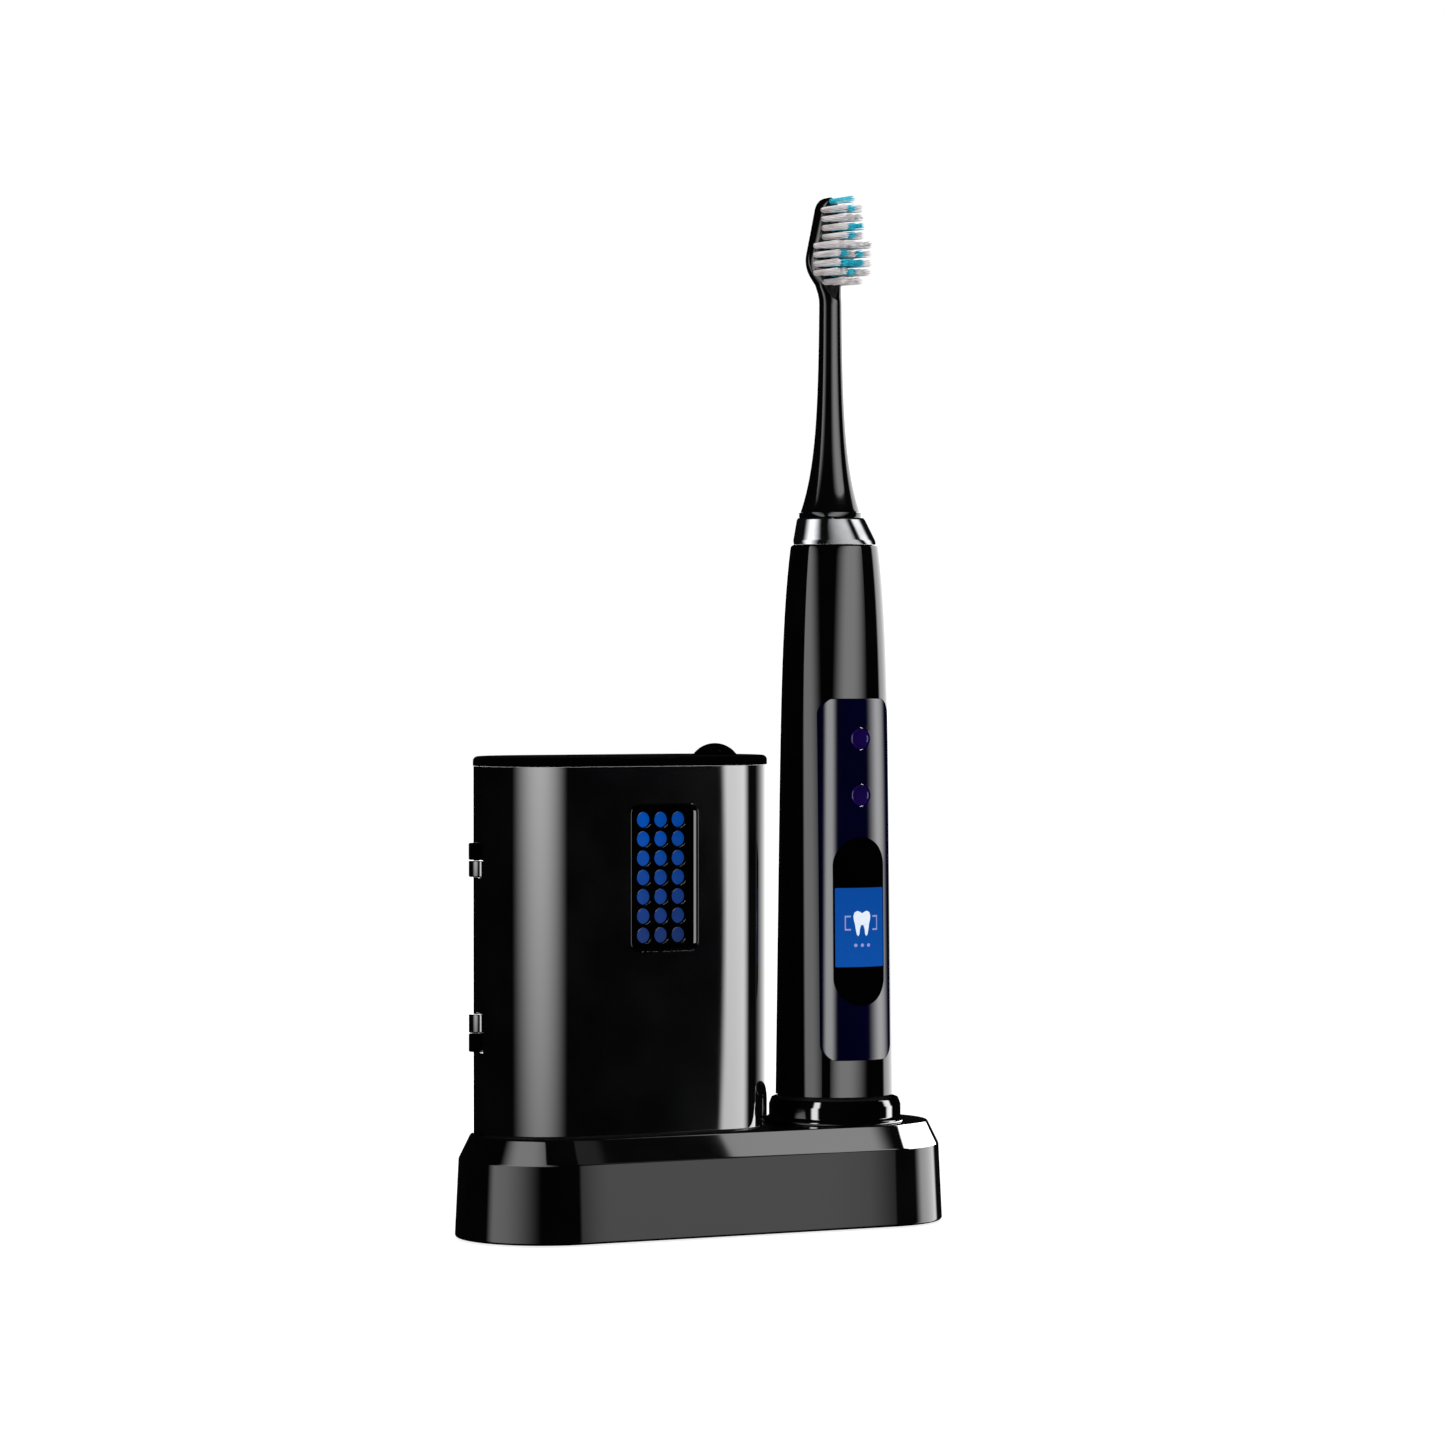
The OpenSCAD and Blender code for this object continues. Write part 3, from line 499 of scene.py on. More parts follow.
def build_base():
    """Housing, hollow and open below, with the hole for the cord's gland in its rear wall."""
    shape = Shape().loft([stadium_ring(0, BASE_HALF, r, z) for r, z in base_profile()])
    gland = Shape().lathe([(GLAND_HOLE, -8), (GLAND_HOLE, 8)], count=48)
    gland.moved(Matrix.Translation((0, BASE_END - 2, GLAND_Z)) @ Matrix.Rotation(math.pi / 2, 4, "X"))
    inner = Shape().loft([stadium_ring(0, BASE_HALF, r, z) for r, z in BASE_INSIDE])
    return piece("base_housing", shape, GLOSS, "base", ["base_shell"], 40, [inner, gland])


def build_seat():
    """Round collar that the handle stands in, with a small flange at its foot and a rolled lip."""
    inner = HANDLE_R + 0.35
    floor = HANDLE_FOOT - 0.2
    outer = rounded(
        [(3.4, BASE_TOP + 0.02), (SEAT_R + 0.9, BASE_TOP + 0.02), (SEAT_R + 0.9, BASE_TOP + 0.9),
         (SEAT_R - 0.1, BASE_TOP + 1.5), (SEAT_R - 0.1, BASE_TOP + 4.6), (SEAT_R - 0.8, SEAT_RIM),
         (inner, SEAT_RIM), (inner, floor), (3.4, floor)],
        [0.25, 0.4, 0.5, 1.2, 0.45, 0.3, 0.8], 8)
    return piece("seat_collar", Shape().lathe(outer, SEAT_X, 0, 128, (False, False)), GLOSS, "base",
                 ["charging_seat"], 50)


# ---- Cabinet ----

def wall_rings(low, side):
    """A half shell's wall from low up to the cap, as one closed section carried along its path."""
    inside, middle = CABINET_R - CABINET_WALL, CABINET_R - CABINET_WALL / 2
    section = rounded(
        [(middle, low), (CABINET_R, low), (CABINET_R, WALL_TOP), (inside, WALL_TOP), (inside, low),
         (middle, low)],
        [WALL_EDGE, WALL_EDGE, 0.2, 0.2], 5)[:-1]
    rings = []
    for cx, angle in half_path(CABINET_X, CABINET_HALF, side):
        rings.append([(cx + r * math.cos(angle), r * math.sin(angle), z) for r, z in section])
    return rings


def knuckle(shape, low, high, side):
    """A hinge barrel with a leaf that ties it to its shell."""
    profile = rounded([(PIN_R, low), (KNUCKLE_R, low), (KNUCKLE_R, high), (PIN_R, high)], [0.35, 0.35], 4)
    shape.lathe(profile, HINGE_X, 0, 32)
    y0, y1 = sorted((side * 0.18, side * (KNUCKLE_R - 0.1)))
    leaf = [[(x, y0, low + 0.1), (x, y1, low + 0.1), (x, y1, high - 0.1), (x, y0, high - 0.1)]
            for x in (HINGE_X, CABINET_LEFT + 1.3)]
    shape.loft(leaf)


def hinge_cutter(low, high):
    """Room in one shell for a knuckle of the other."""
    return Shape().lathe([(KNUCKLE_R + 0.35, low - 0.3), (KNUCKLE_R + 0.35, high + 0.3)], HINGE_X, 0, 48)


def build_back():
    """Fixed half shell with its outer hinge knuckles."""
    shell = Shape().loft(wall_rings(BASE_TOP, 1))
    obj = piece("cabinet_back_shell", shell, GLOSS_DOOR, "base", ["cabinet_back"], 40,
                [hinge_cutter(*span) for span in DOOR_KNUCKLES])
    barrels = Shape()
    for span in BACK_KNUCKLES:
        knuckle(barrels, *span, 1)
    hinge = piece("cabinet_hinge_knuckles", barrels, GLOSS_DOOR, "base", (), 40)
    return obj, hinge


def window_cutter(grow, depth):
    """Prism through the door's front with the window's outline."""
    outline = rounded_rect(WINDOW_W + grow, WINDOW_H + grow, 2 + grow / 2)
    rings = [[(WINDOW_X + x, y, WINDOW_Z + z) for x, z in outline] for y in (-CABINET_R - 2, depth)]
    return Shape().loft(rings)


def build_door():
    """Swinging half shell with the window's opening and its inner hinge knuckles."""
    shell = Shape().loft(wall_rings(DOOR_FOOT, -1))
    cutters = [hinge_cutter(*span) for span in BACK_KNUCKLES]
    door = piece("door_front", shell, GLOSS_DOOR, "door", ["door_shell"], 40,
                 cutters + [window_cutter(1.0, -10)])
    barrels = Shape()
    for span in DOOR_KNUCKLES:
        knuckle(barrels, *span, -1)
    hinge = piece("door_hinge_knuckles", barrels, GLOSS_DOOR, "door", (), 40)
    return door, hinge


def build_window_rim():
    """Rounded surround that leads from the door's face down to the grille."""
    section = [(0.5, 0.04), (0.42, -0.02), (0.28, -0.05), (0.12, -0.01), (0.0, 0.14), (-0.03, 0.5),
               (-0.05, 1.75), (0.5, 1.75)]
    outline = rounded_rect(WINDOW_W, WINDOW_H, 2, 8)
    grown = rounded_rect(WINDOW_W + 2, WINDOW_H + 2, 3, 8)
    rings = []
    for (x0, z0), (x1, z1) in zip(outline + outline[:1], grown + grown[:1]):
        rings.append([(WINDOW_X + x0 + (x1 - x0) * out, -CABINET_R + deep, WINDOW_Z + z0 + (z1 - z0) * out)
                      for out, deep in section])
    return piece("window_rim", Shape().loft(rings, caps=(False, False)), GLOSS_DOOR, "door",
                 (), 40)


def build_grille():
    """Plate with a grid of holes, each with a rounded lip."""
    front = -CABINET_R + CABINET_WALL
    outline = rounded_rect(WINDOW_W + 2.6, WINDOW_H + 2.6, 2.6)
    plate = Shape().loft([[(WINDOW_X + x, y, WINDOW_Z + z) for x, z in outline]
                          for y in (front, front + 1.15)])
    bore = [(GRILLE_HOLE + 0.1, -1), (GRILLE_HOLE + 0.1, 3)]
    lip = rounded([(GRILLE_HOLE, 1.1), (GRILLE_HOLE, -0.06), (GRILLE_HOLE + GRILLE_LIP, -0.06),
                   (GRILLE_HOLE + GRILLE_LIP, 0.3)], [0.1, 0.1], 4)
    holes, lips = Shape(), Shape()
    for column in range(-1, 2):
        for row in range(-3, 4):
            x, z = WINDOW_X + column * GRILLE_PITCH, WINDOW_Z + row * GRILLE_PITCH
            face = Matrix.Translation((x, front, z)) @ Matrix.Rotation(-math.pi / 2, 4, "X")
            holes.add(Shape().lathe(bore, count=40).moved(face))
            lips.add(Shape().lathe(lip, count=40, caps=(False, False)).moved(face))
    grille = piece("grille_plate", plate, GLOSS_DOOR, "door", ["window_grille"], 40, [holes])
    rims = piece("grille_hole_rims", lips, GLOSS_DOOR, "door", (), 60)
    return grille, rims


def build_cap():
    """Top cover, hollow below, with the opening for the lamp's button."""
    profile = rounded(
        [(CABINET_R - CABINET_WALL, CAP_START), (CABINET_R, CAP_START), (CABINET_R, CABINET_TOP),
         (CABINET_R - 8, CABINET_TOP)], [0.04, CAP_ROUND], 12)
    cap = Shape().loft([stadium_ring(CABINET_X, CABINET_HALF, r, z, 48) for r, z in profile])
    inner = Shape().loft([stadium_ring(CABINET_X, CABINET_HALF, CABINET_R - CABINET_WALL - 0.05, z, 48)
                          for z in (CAP_START - 3, CABINET_TOP - 1.8)])
    opening = DOME_R + 0.3
    hole = Shape().lathe([(opening, CAP_START), (opening, CABINET_TOP + 4)], DOME_X, 0, 64)
    return piece("cap_cover", cap, GLOSS, "base", ["cabinet_cap"], 40, [inner, hole])


def build_dome():
    """Button: a stem that works the switch, a flange that keeps it in the cap, and a dome."""
    foot, spread, steps = DOME_LOW.z, math.asin(DOME_R / DOME_SPHERE), 16
    angles = [spread * i / steps for i in range(steps, -1, -1)]
    dome = [(DOME_SPHERE * math.sin(a), DOME_HIGH.z - DOME_SPHERE * (1 - math.cos(a))) for a in angles]
    skirt = [(DOME_R + 1.0, foot + 1.2), (DOME_R + 1.0, foot + 1.9), (DOME_R, foot + 2.0),
             (DOME_R, CABINET_TOP - 0.2)]
    stem = [(0.2, foot), (1.2, foot), (1.2, foot + 1.2)]
    shape = Shape().lathe(stem + skirt + dome, DOME_X, 0, 96)
    return piece("lamp_button_dome", shape, GLOSS, "lamp_button", ["uv_button"], 40)


# ---- Handle ----

def handle_r(z):
    """Outer radius of the handle: an even taper, and a shoulder near the top."""
    share = (z - HANDLE_FOOT) / (HANDLE_TOP - HANDLE_FOOT)
    return HANDLE_R - 2.0 * share - 2.2 * share ** 8


def build_handle():
    """Outer tube with its rounded shoulder and the openings for the two keys."""
    low, rim = SHELL_LOW.z, HANDLE_TOP - 1.3
    heights = [low + (rim - low) * i / 70 for i in range(71)]
    outer = [(handle_r(z), z) for z in heights]
    last = outer[-1][0]
    top = rounded([(last, rim), (last - 0.15, rim + 0.9), (SHOULDER_R - 0.1, HANDLE_TOP - 0.05),
                   (9.6, HANDLE_TOP - 0.05)], [0.6, 0.3], 6)
    inner = [(handle_r(z) - HANDLE_WALL, z) for z in reversed(heights[::5])]
    profile = outer + [tuple(p) for p in top[1:]] + inner + [(handle_r(low), low)]
    shape = Shape().lathe(profile, SEAT_X, 0, 160, (False, False))
    return piece("handle_body", shape, GLOSS_HANDLE, "handle", ["handle_shell"], 40,
                 [key_cutter(z, 0.3) for z in key_heights()])


def key_heights():
    """Heights of the centres of the two keys."""
    return [sum(corner.z for corner in box_mm(node)) / 2 for node in ("power_button", "mode_button")]


def key_cutter(z, gap):
    """Room for a key, with a gap round it."""
    place = Matrix.Translation((SEAT_X, -handle_r(z) - 3, z)) @ Matrix.Rotation(-math.pi / 2, 4, "X")
    return Shape().lathe([(KEY_R + gap, 0), (KEY_R + gap, 7)], count=48).moved(place)


def skin_patch(low, high, half_width, corner, lift, depth, across=28, along=80, edge=0.35):
    """Closed inlay over the handle's front, with round corners and a rolled edge."""
    shape = Shape()
    rings = []
    for step in range(along + 1):
        z = low + (high - low) * (0.5 - 0.5 * math.cos(math.pi * step / along))
        end = max(0.0, corner - min(z - low, high - z))
        half = half_width - corner + math.sqrt(max(0.0, corner ** 2 - end ** 2))
        near_end = min(1.0, min(z - low, high - z) / edge)
        front, back = [], []
        for i in range(across + 1):
            x = half * math.sin(math.pi / 2 * (2 * i / across - 1))
            near = min(near_end, (half - abs(x)) / edge, 1.0)
            roll = lift - (lift + 0.12) * (1 - math.sqrt(max(0.0, 1 - (1 - near) ** 2)))
            angle = math.asin(min(0.999, x / handle_r(z)))
            for side, r in ((front, handle_r(z) + roll), (back, handle_r(z) - depth)):
                side.append((SEAT_X + r * math.sin(angle), -r * math.cos(angle), z))
        rings.append(front + back[::-1])
    return shape.loft(rings)


def build_panel():
    """Navy inlay along the front, with openings for the keys."""
    low, high = box_mm("control_panel")
    half = (high.x - low.x) / 2
    patch = skin_patch(low.z, high.z, half, 4.3, 0.1, 0.75)
    return piece("front_panel", patch, NAVY, "handle", ["control_panel"], 40,
                 [key_cutter(z, 0.22) for z in key_heights()])


def build_display():
    """Black oval cover with the lit screen let into its face."""
    low, high = box_mm("display_lens")
    half = (high.x - low.x) / 2
    cover = skin_patch(low.z, high.z, half, half - 0.05, 0.2, 0.3, 32, 90)
    piece("display_cover", cover, COVER, "handle", ["display_lens"], 40)
    low, high = box_mm("display_screen")
    screen = skin_patch(low.z, high.z, half - 0.55, 0.35, 0.26, 0.1, 24, 20, 0.1)
    piece("screen_face", screen, DISPLAY, "handle", ["display_screen"], 40)


def on_handle(x, z, lift):
    """Point of the handle's front at a distance x from its middle."""
    r = handle_r(z)
    angle = math.asin(x / r)
    return SEAT_X + (r + lift) * math.sin(angle), -(r + lift) * math.cos(angle), z


def flat_mark(shape, outline, centre_z, lift=0.38):
    """A thin printed shape on the screen; outline is (x, z) about its middle."""
    centre = (sum(p[0] for p in outline) / len(outline), sum(p[1] for p in outline) / len(outline))
    start = len(shape.verts)
    shape.verts.append(on_handle(centre[0], centre_z + centre[1], lift))
    shape.verts += [on_handle(x, centre_z + z, lift) for x, z in outline]
    count = len(outline)
    for i in range(count):
        shape.faces.append((start, start + 1 + i, start + 1 + (i + 1) % count))


TOOTH_WIDE, TOOTH_TALL = 1.17, 1.48
# Right half of a molar's crown, from the dip in its top down to its middle, and its right root
CROWN = [(0.0, 1.75), (0.55, 2.02), (1.2, 2.2), (1.85, 1.95), (2.15, 1.3), (2.05, 0.5), (1.75, -0.3),
         (0.0, -0.4)]
ROOT = [(0.3, -0.42), (1.78, -0.25), (1.6, -1.2), (1.35, -2.1), (1.0, -2.4), (0.72, -2.0), (0.6, -1.1)]
# Bars of the right bracket, each from corner to corner
BRACKET = [(3.2, 2.0, 4.8, 1.55), (4.5, 1.6, 4.8, -1.6), (3.2, -2.0, 4.8, -1.55)]
DOT_R, DOT_PITCH, DOT_Z = 0.48, 1.9, -6.0


def build_symbol():
    """Tooth between two small brackets, and three dots for the brushing mode below it."""
    low, high = box_mm("display_screen")
    middle = (low.z + high.z) / 2 + 1.2
    tooth, marks = Shape(), Shape()
    crown = CROWN + [(-x, z) for x, z in CROWN[-2:0:-1]]
    flat_mark(tooth, [(TOOTH_WIDE * x, TOOTH_TALL * z) for x, z in crown], middle)
    for side in (-1, 1):
        flat_mark(tooth, [(side * TOOTH_WIDE * x, TOOTH_TALL * z) for x, z in ROOT], middle)
        for x0, z0, x1, z1 in BRACKET:
            x0, x1 = side * x0, side * x1
            flat_mark(marks, [(x0, z0), (x1, z0), (x1, z1), (x0, z1)], middle)
    turns = [TAU * k / 14 for k in range(14)]
    for i in (-1, 0, 1):
        dot = [(DOT_PITCH * i + DOT_R * math.cos(turn), DOT_Z + DOT_R * math.sin(turn)) for turn in turns]
        flat_mark(marks, dot, middle)
    piece("screen_symbol", tooth, lit_ink("symbol_ink", (0.8, 0.87, 0.95), 0.95), "handle",
          (), 60)
    piece("screen_marks", marks, lit_ink("mark_ink", (0.27, 0.3, 0.62), 0.9), "handle",
          (), 60)


def build_key(node, name, body):
    """Round key: a flange that keeps it in, and a rolled rim round a slightly dished face."""
    low, high = box_mm(node)
    z = (low.z + high.z) / 2
    front, radius = -low.y, KEY_R - 0.02
    face = rounded([(radius, front - 4.1), (radius, front - 0.02), (2.15, front), (1.9, front - 0.3),
                    (0.02, front - 0.42)], [0.45, 0.2, 0.3], 6)
    profile = [(1.0, front - 4.9), (3.6, front - 4.9), (3.6, front - 4.2), *(tuple(p) for p in face)]
    shape = Shape().lathe(profile, count=64)
    shape.moved(Matrix.Translation((SEAT_X, 0, z)) @ Matrix.Rotation(math.pi / 2, 4, "X"))
    return piece(name, shape, NAVY_KEY, body, [node], 50)


def build_ring():
    """Chrome collar that leans from the handle's centre line to the shaft's."""
    low, high = HANDLE_TOP, RING_TOP
    slope = (RING_FOOT_R - RING_TOP_R) * 0.07
    outer = rounded([(0.0, RING_FOOT_R - 0.9), (0.0, RING_FOOT_R), (0.93, RING_TOP_R + slope),
                     (1.0, RING_TOP_R - 0.25), (1.0, 6.1)], [0.16, 0.03, 0.03], 6)
    rings = []
    for share, r in outer:
        share = min(max(share, 0.0), 1.0)
        rings.append(circle_ring(SEAT_X, NECK_Y * share, r, low + (high - low) * share, 128))
    rings += [circle_ring(SEAT_X, NECK_Y, RING_BORE, z, 128) for z in (high - 0.6, low + 0.3)]
    return piece("chrome_collar", Shape().loft(rings, caps=(False, False)), CHROME, "handle",
                 ["chrome_ring"], 50)


# ---- Brush head ----

def stem_r(z):
    """Radius of the stem: it narrows fast above the cuff, and then hardly at all."""
    return STEM_R + (CUFF_R - STEM_R) * math.exp((CUFF_Z - z) / 15.0)


def paddle_half(z):
    """Half the width of the bristle plate: two joined circles."""
    low, tip = PADDLE_LOW + PADDLE_R, HEAD_TOP - PADDLE_TIP
    lean = (PADDLE_R - PADDLE_TIP) / (tip - low)
    if z < low + PADDLE_R * lean:
        return math.sqrt(max(0.0, PADDLE_R ** 2 - (z - low) ** 2))
    if z > tip + PADDLE_TIP * lean:
        return math.sqrt(max(0.0, PADDLE_TIP ** 2 - (z - tip) ** 2))
    return (PADDLE_R - (z - low) * lean) / math.sqrt(1 - lean ** 2)


def smooth(value):
    """An even rise from 0 to 1 as value goes from 0 to 1."""
    value = min(max(value, 0.0), 1.0)
    return value * value * (3 - 2 * value)


def head_section(z, count=64):
    """Outline of the brush head at height z: round below, and a plate with rounded sides above."""
    above = z - PADDLE_LOW
    # The plate takes over from the round stem over 9 mm, from 5 mm below its own lower edge
    blend = smooth((above + 5) / 9)
    half = paddle_half(z)
    if above < 8:
        stem = stem_r(z) * (1 - smooth(above / 6))
        flare = 3.4 * smooth((above + 7) / 8) * (1 - smooth((above - 1) / 5))
        half = (stem ** 4 + flare ** 4 + half ** 4) ** 0.25
    half = max(half, 0.05)
    # The plate thins to a rounded edge over its last 3.2 mm
    end = min(1.0, math.sqrt(max(0.0, (HEAD_TOP - z) / 3.2)))
    thick = PADDLE_THICK * (0.45 + 0.55 * end)
    depth = stem_r(z) * (1 - blend) + thick * blend
    centre = (1.55 - 0.6 * (PADDLE_THICK - thick)) * blend
    power = 1 + 0.45 * blend
    points = []
    for i in range(count):
        angle = TAU * i / count
        c, s = math.cos(angle), math.sin(angle)
        points.append((half * math.copysign(abs(c) ** (1 / power), c),
                       centre + depth * math.copysign(abs(s) ** (1 / power), s), z))
    return points


def head_place():
    """Where the brush head stands, turned a little on its shaft."""
    return Matrix.Translation((SEAT_X, NECK_Y, 0)) @ Matrix.Rotation(HEAD_YAW, 4, "Z")


def build_stem():
    """Brush head's moulding: cuff, thin stem and bristle plate in one skin."""
    foot = CUFF_Z - 0.6
    cuff = [(CUFF_R - 1.0, foot), (CUFF_R - 0.25, foot), (CUFF_R, foot + 0.3), (CUFF_R, CUFF_Z + 0.9),
            (CUFF_R - 0.3, CUFF_Z + 1.05), (CUFF_R - 0.45, CUFF_Z + 1.3)]
    shape = Shape()
    rings = [circle_ring(0, 0, r, z, 64) for r, z in cuff]
    z = CUFF_Z + 2.0
    while z < HEAD_TOP - 0.02:
        rings.append(head_section(z))
        z += 1.5 if z < PADDLE_LOW - 7 else (0.5 if z < HEAD_TOP - 3 else 0.12)
    rings.append(head_section(HEAD_TOP - 0.01))
    shape.loft(rings).moved(head_place())
    hole = Shape().lathe([(STEM_BORE, CUFF_Z - 2), (STEM_BORE, CUFF_Z + 16)], SEAT_X, NECK_Y, 48)
    return piece("brush_stem", shape, GLOSS_STEM, "brush_head", ["brush_neck"], 45, [hole])


def tuft_blue(row, column):
    """The whole top row is blue, and in the other rows the tufts of a zigzag down the middle."""
    aside = abs(column)
    return (row == TUFT_ROWS - 1 or (aside == 0 and (row % 4 == 1 or row == TUFT_ROWS - 2))
            or (aside <= 1 and row == 2) or (column in (0, 1) and row == 6) or (aside == 1 and row == 3))


def build_bristles():
    """Tufts of single filaments, each with its own small lean and a rounded tip."""
    dice = random.Random(7)
    shapes = {True: Shape(), False: Shape()}
    for row in range(TUFT_ROWS):
        z = PADDLE_LOW + 1 + row * TUFT_PITCH
        for column in range(-2, 3):
            if abs(column) * COLUMN_PITCH >= paddle_half(z) - 0.6:
                continue
            tuft(shapes[tuft_blue(row, column)], column * COLUMN_PITCH, z, row, dice)
    pieces = []
    for blue, name, mat, node in ((False, "white_filaments", WHITE_NYLON, "white_bristles"),
                                  (True, "blue_filaments", BLUE_NYLON, "blue_bristles")):
        shapes[blue].moved(head_place())
        pieces.append(piece(name, shapes[blue], mat, "brush_head",
                            [node], 60))
    return pieces


def tuft(shape, x, z, row, dice):
    """Rings of filaments round one that stand closer at the root than at the tip."""
    middle = (TUFT_ROWS - 1) / 2
    length = 10.3 - 0.9 * abs((row - middle) / middle) ** 2 - 0.25 * (row % 2)
    for ring, count in ((0.0, 1), (0.32, 6), (0.66, 11)):
        for k in range(count):
            angle = TAU * (k + 0.5 * (ring > 0.5)) / count
            root = Vector((x + ring * math.cos(angle), 0.1, z + ring * math.sin(angle)))
            splay = 1.28 + dice.uniform(-0.08, 0.1)
            tip = Vector((x + ring * splay * math.cos(angle) + dice.uniform(-0.12, 0.12),
                          -0.5 - length - dice.uniform(-0.15, 0.15),
                          z + ring * splay * math.sin(angle) + dice.uniform(-0.12, 0.12)))
            strand(shape, root, tip, 0.115)


def strand(shape, root, tip, radius):
    """One filament: a thin rod with a rounded end."""
    spokes = [Vector((math.cos(TAU * i / 6), 0, math.sin(TAU * i / 6))) * radius for i in range(6)]
    rings = []
    for share, scale in ((0.0, 1.0), (0.5, 1.0), (0.965, 0.95), (0.99, 0.65), (1.0, 0.2)):
        centre = root.lerp(tip, share)
        rings.append([centre + spoke * scale for spoke in spokes])
    shape.loft(rings)


# ---- Everything ----

BASE = build_base()
SEAT = build_seat()
BACK = build_back()
DOOR = build_door()
RIM = build_window_rim()
GRILLE = build_grille()
CAP = build_cap()
DOME = build_dome()
HANDLE = build_handle()
PANEL = build_panel()
build_display()
build_symbol()
KEYS = (build_key("power_button", "power_key_cap", "power_key"),
        build_key("mode_button", "mode_key_cap", "mode_key"))
RING = build_ring()
STEM = build_stem()
BRISTLES = build_bristles()

CAD_LOOKS = {
    MATT: ["bottom_plate", "charging_post", "cabinet_floor", "service_tray", "button_switch", "end_cap"],
    RUBBER: ["rubber_feet", "cord_gland", "shaft_seal"],
    SILICONE: ["end_cap_seal"],
    STEEL: ["base_screws", "cabinet_screws", "lamp_clips", "button_spring", "hinge_pins", "strike_plate",
            "motor_case", "drive_shaft"],
    FOIL: ["lamp_reflector"],
    FERRITE: ["coil_core", "door_magnet", "rotor_magnets"],
    COPPER: ["primary_coil", "secondary_coil", "motor_coils"],
    BRONZE: ["shaft_bearings"],
    NATURAL: ["head_pegs", "inner_frame", "shaft_socket"],
    BOARD: ["charger_board", "lamp_board", "handle_board"],
    WRAP: ["battery"],
    LAMP: ["uv_lamp"],
    PANE: ["window_lens"],
}
for look, nodes in CAD_LOOKS.items():
    for node in nodes:
        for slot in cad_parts[node].material_slots:
            slot.material = look


# ---- Floor, camera and light ----

CAMERA_AZIMUTH = -26.5


def aimed(obj, place, look):
    """Puts a camera or a lamp at a place, looking along a direction."""
    obj.location = place
    obj.rotation_mode = "QUATERNION"
    obj.rotation_quaternion = look.to_track_quat("-Z", "Y")


def build_floor():
    """White sweep: it glows a little, so that only a trace of the object's shadow shows on it."""
    floor_mat, tree, shader = material("pale_floor", (0.3, 0.3, 0.3), 0.8, specular=0.0)
    tree.links.new(tinted(tree, noise(tree, 8, 2), (0.29, 0.29, 0.29), (0.31, 0.31, 0.31)),
                   shader.inputs["Base Color"])
    shader.inputs["Emission Color"].default_value = (1, 1, 1, 1)
    shader.inputs["Emission Strength"].default_value = 0.84
    mesh = bpy.data.meshes.new("floor")
    reach = 6.0
    mesh.from_pydata([(-reach, -reach, 0), (reach, -reach, 0), (reach, reach, 0), (-reach, reach, 0)], [],
                     [(0, 1, 2, 3)])
    floor = placed("floor", mesh)
    mesh.materials.append(floor_mat)
    floor.visible_glossy = False
    floor.visible_diffuse = False
    return floor


def build_camera():
    """Eye level about half way up the object, far off, with a long lens."""
    distance, eye, aside, pitch = 1.3244, 0.1527, 0.00545, math.radians(0.725)
    a = math.radians(CAMERA_AZIMUTH)
    back = Vector((math.sin(a), -math.cos(a), 0))
    right = Vector((math.cos(a), math.sin(a), 0))
    data = bpy.data.cameras.new("camera")
    data.lens, data.sensor_width = 123.0, 36.0
    camera = placed("camera", data)
    look = -back * math.cos(pitch) + Vector((0, 0, -math.sin(pitch)))
    aimed(camera, back * distance + right * aside + Vector((0, 0, eye)), look)
    bpy.context.scene.camera = camera


def softbox(name, centre, turns, heights, radiance, receivers, soft=(0.25, 0.25), slant=0.0,
            distance=0.7):
    """Upright panel of light seen from centre between two angles from the camera's side.

    radiance is (at the foot, at the top), soft is the share of the width that fades out at each
    end, slant the share of it by which the top leans back, and receivers are all that it lights.
    """
    first, last = turns
    middle = math.radians(CAMERA_AZIMUTH + (first + last) / 2)
    width = 2 * distance * math.tan(math.radians(last - first) / 2)
    height = heights[1] - heights[0]
    data = bpy.data.lights.new(name, "AREA")
    data.shape, data.size, data.size_y = "RECTANGLE", width, height
    data.energy = 4 * width * height
    data.use_nodes = True
    tree = data.node_tree
    emission = next(n for n in tree.nodes if n.type == "EMISSION")
    geometry = tree.nodes.new("ShaderNodeNewGeometry")
    split = tree.nodes.new("ShaderNodeSeparateXYZ")
    tree.links.new(geometry.outputs["Parametric"], split.inputs["Vector"])
    lean = tree.nodes.new("ShaderNodeMath")
    lean.operation = "MULTIPLY_ADD"
    lean.inputs[1].default_value = slant
    tree.links.new(ranged(tree, split.outputs["Y"], -0.5, 0.5, 0.0, 1.0), lean.inputs[0])
    tree.links.new(split.outputs["X"], lean.inputs[2])
    level = ranged(tree, split.outputs["Y"], *radiance, 0.0, 1.0)
    for low, high in ((0.0, soft[0]), (1.0, 1.0 - soft[1])):
        edge = tree.nodes.new("ShaderNodeMapRange")
        edge.interpolation_type = "SMOOTHSTEP"
        edge.inputs["From Min"].default_value, edge.inputs["From Max"].default_value = low, high
        tree.links.new(lean.outputs["Value"], edge.inputs["Value"])
        level = multiplied(tree, level, edge.outputs["Result"])
    tree.links.new(level, emission.inputs["Strength"])
    lamp = placed(name, data)
    out = Vector((math.sin(middle), -math.cos(middle), 0))
    aimed(lamp, Vector((centre * MM, 0, sum(heights) / 2)) + out * distance, -out)
    link_light(lamp, receivers)


def link_light(lamp, receivers):
    """Lets a lamp light only its receivers, and hides it from the camera."""
    lamp.visible_camera = False
    group = bpy.data.collections.new(lamp.name + "_receivers")
    for obj in receivers:
        group.objects.link(obj)
    lamp.light_linking.receiver_collection = group


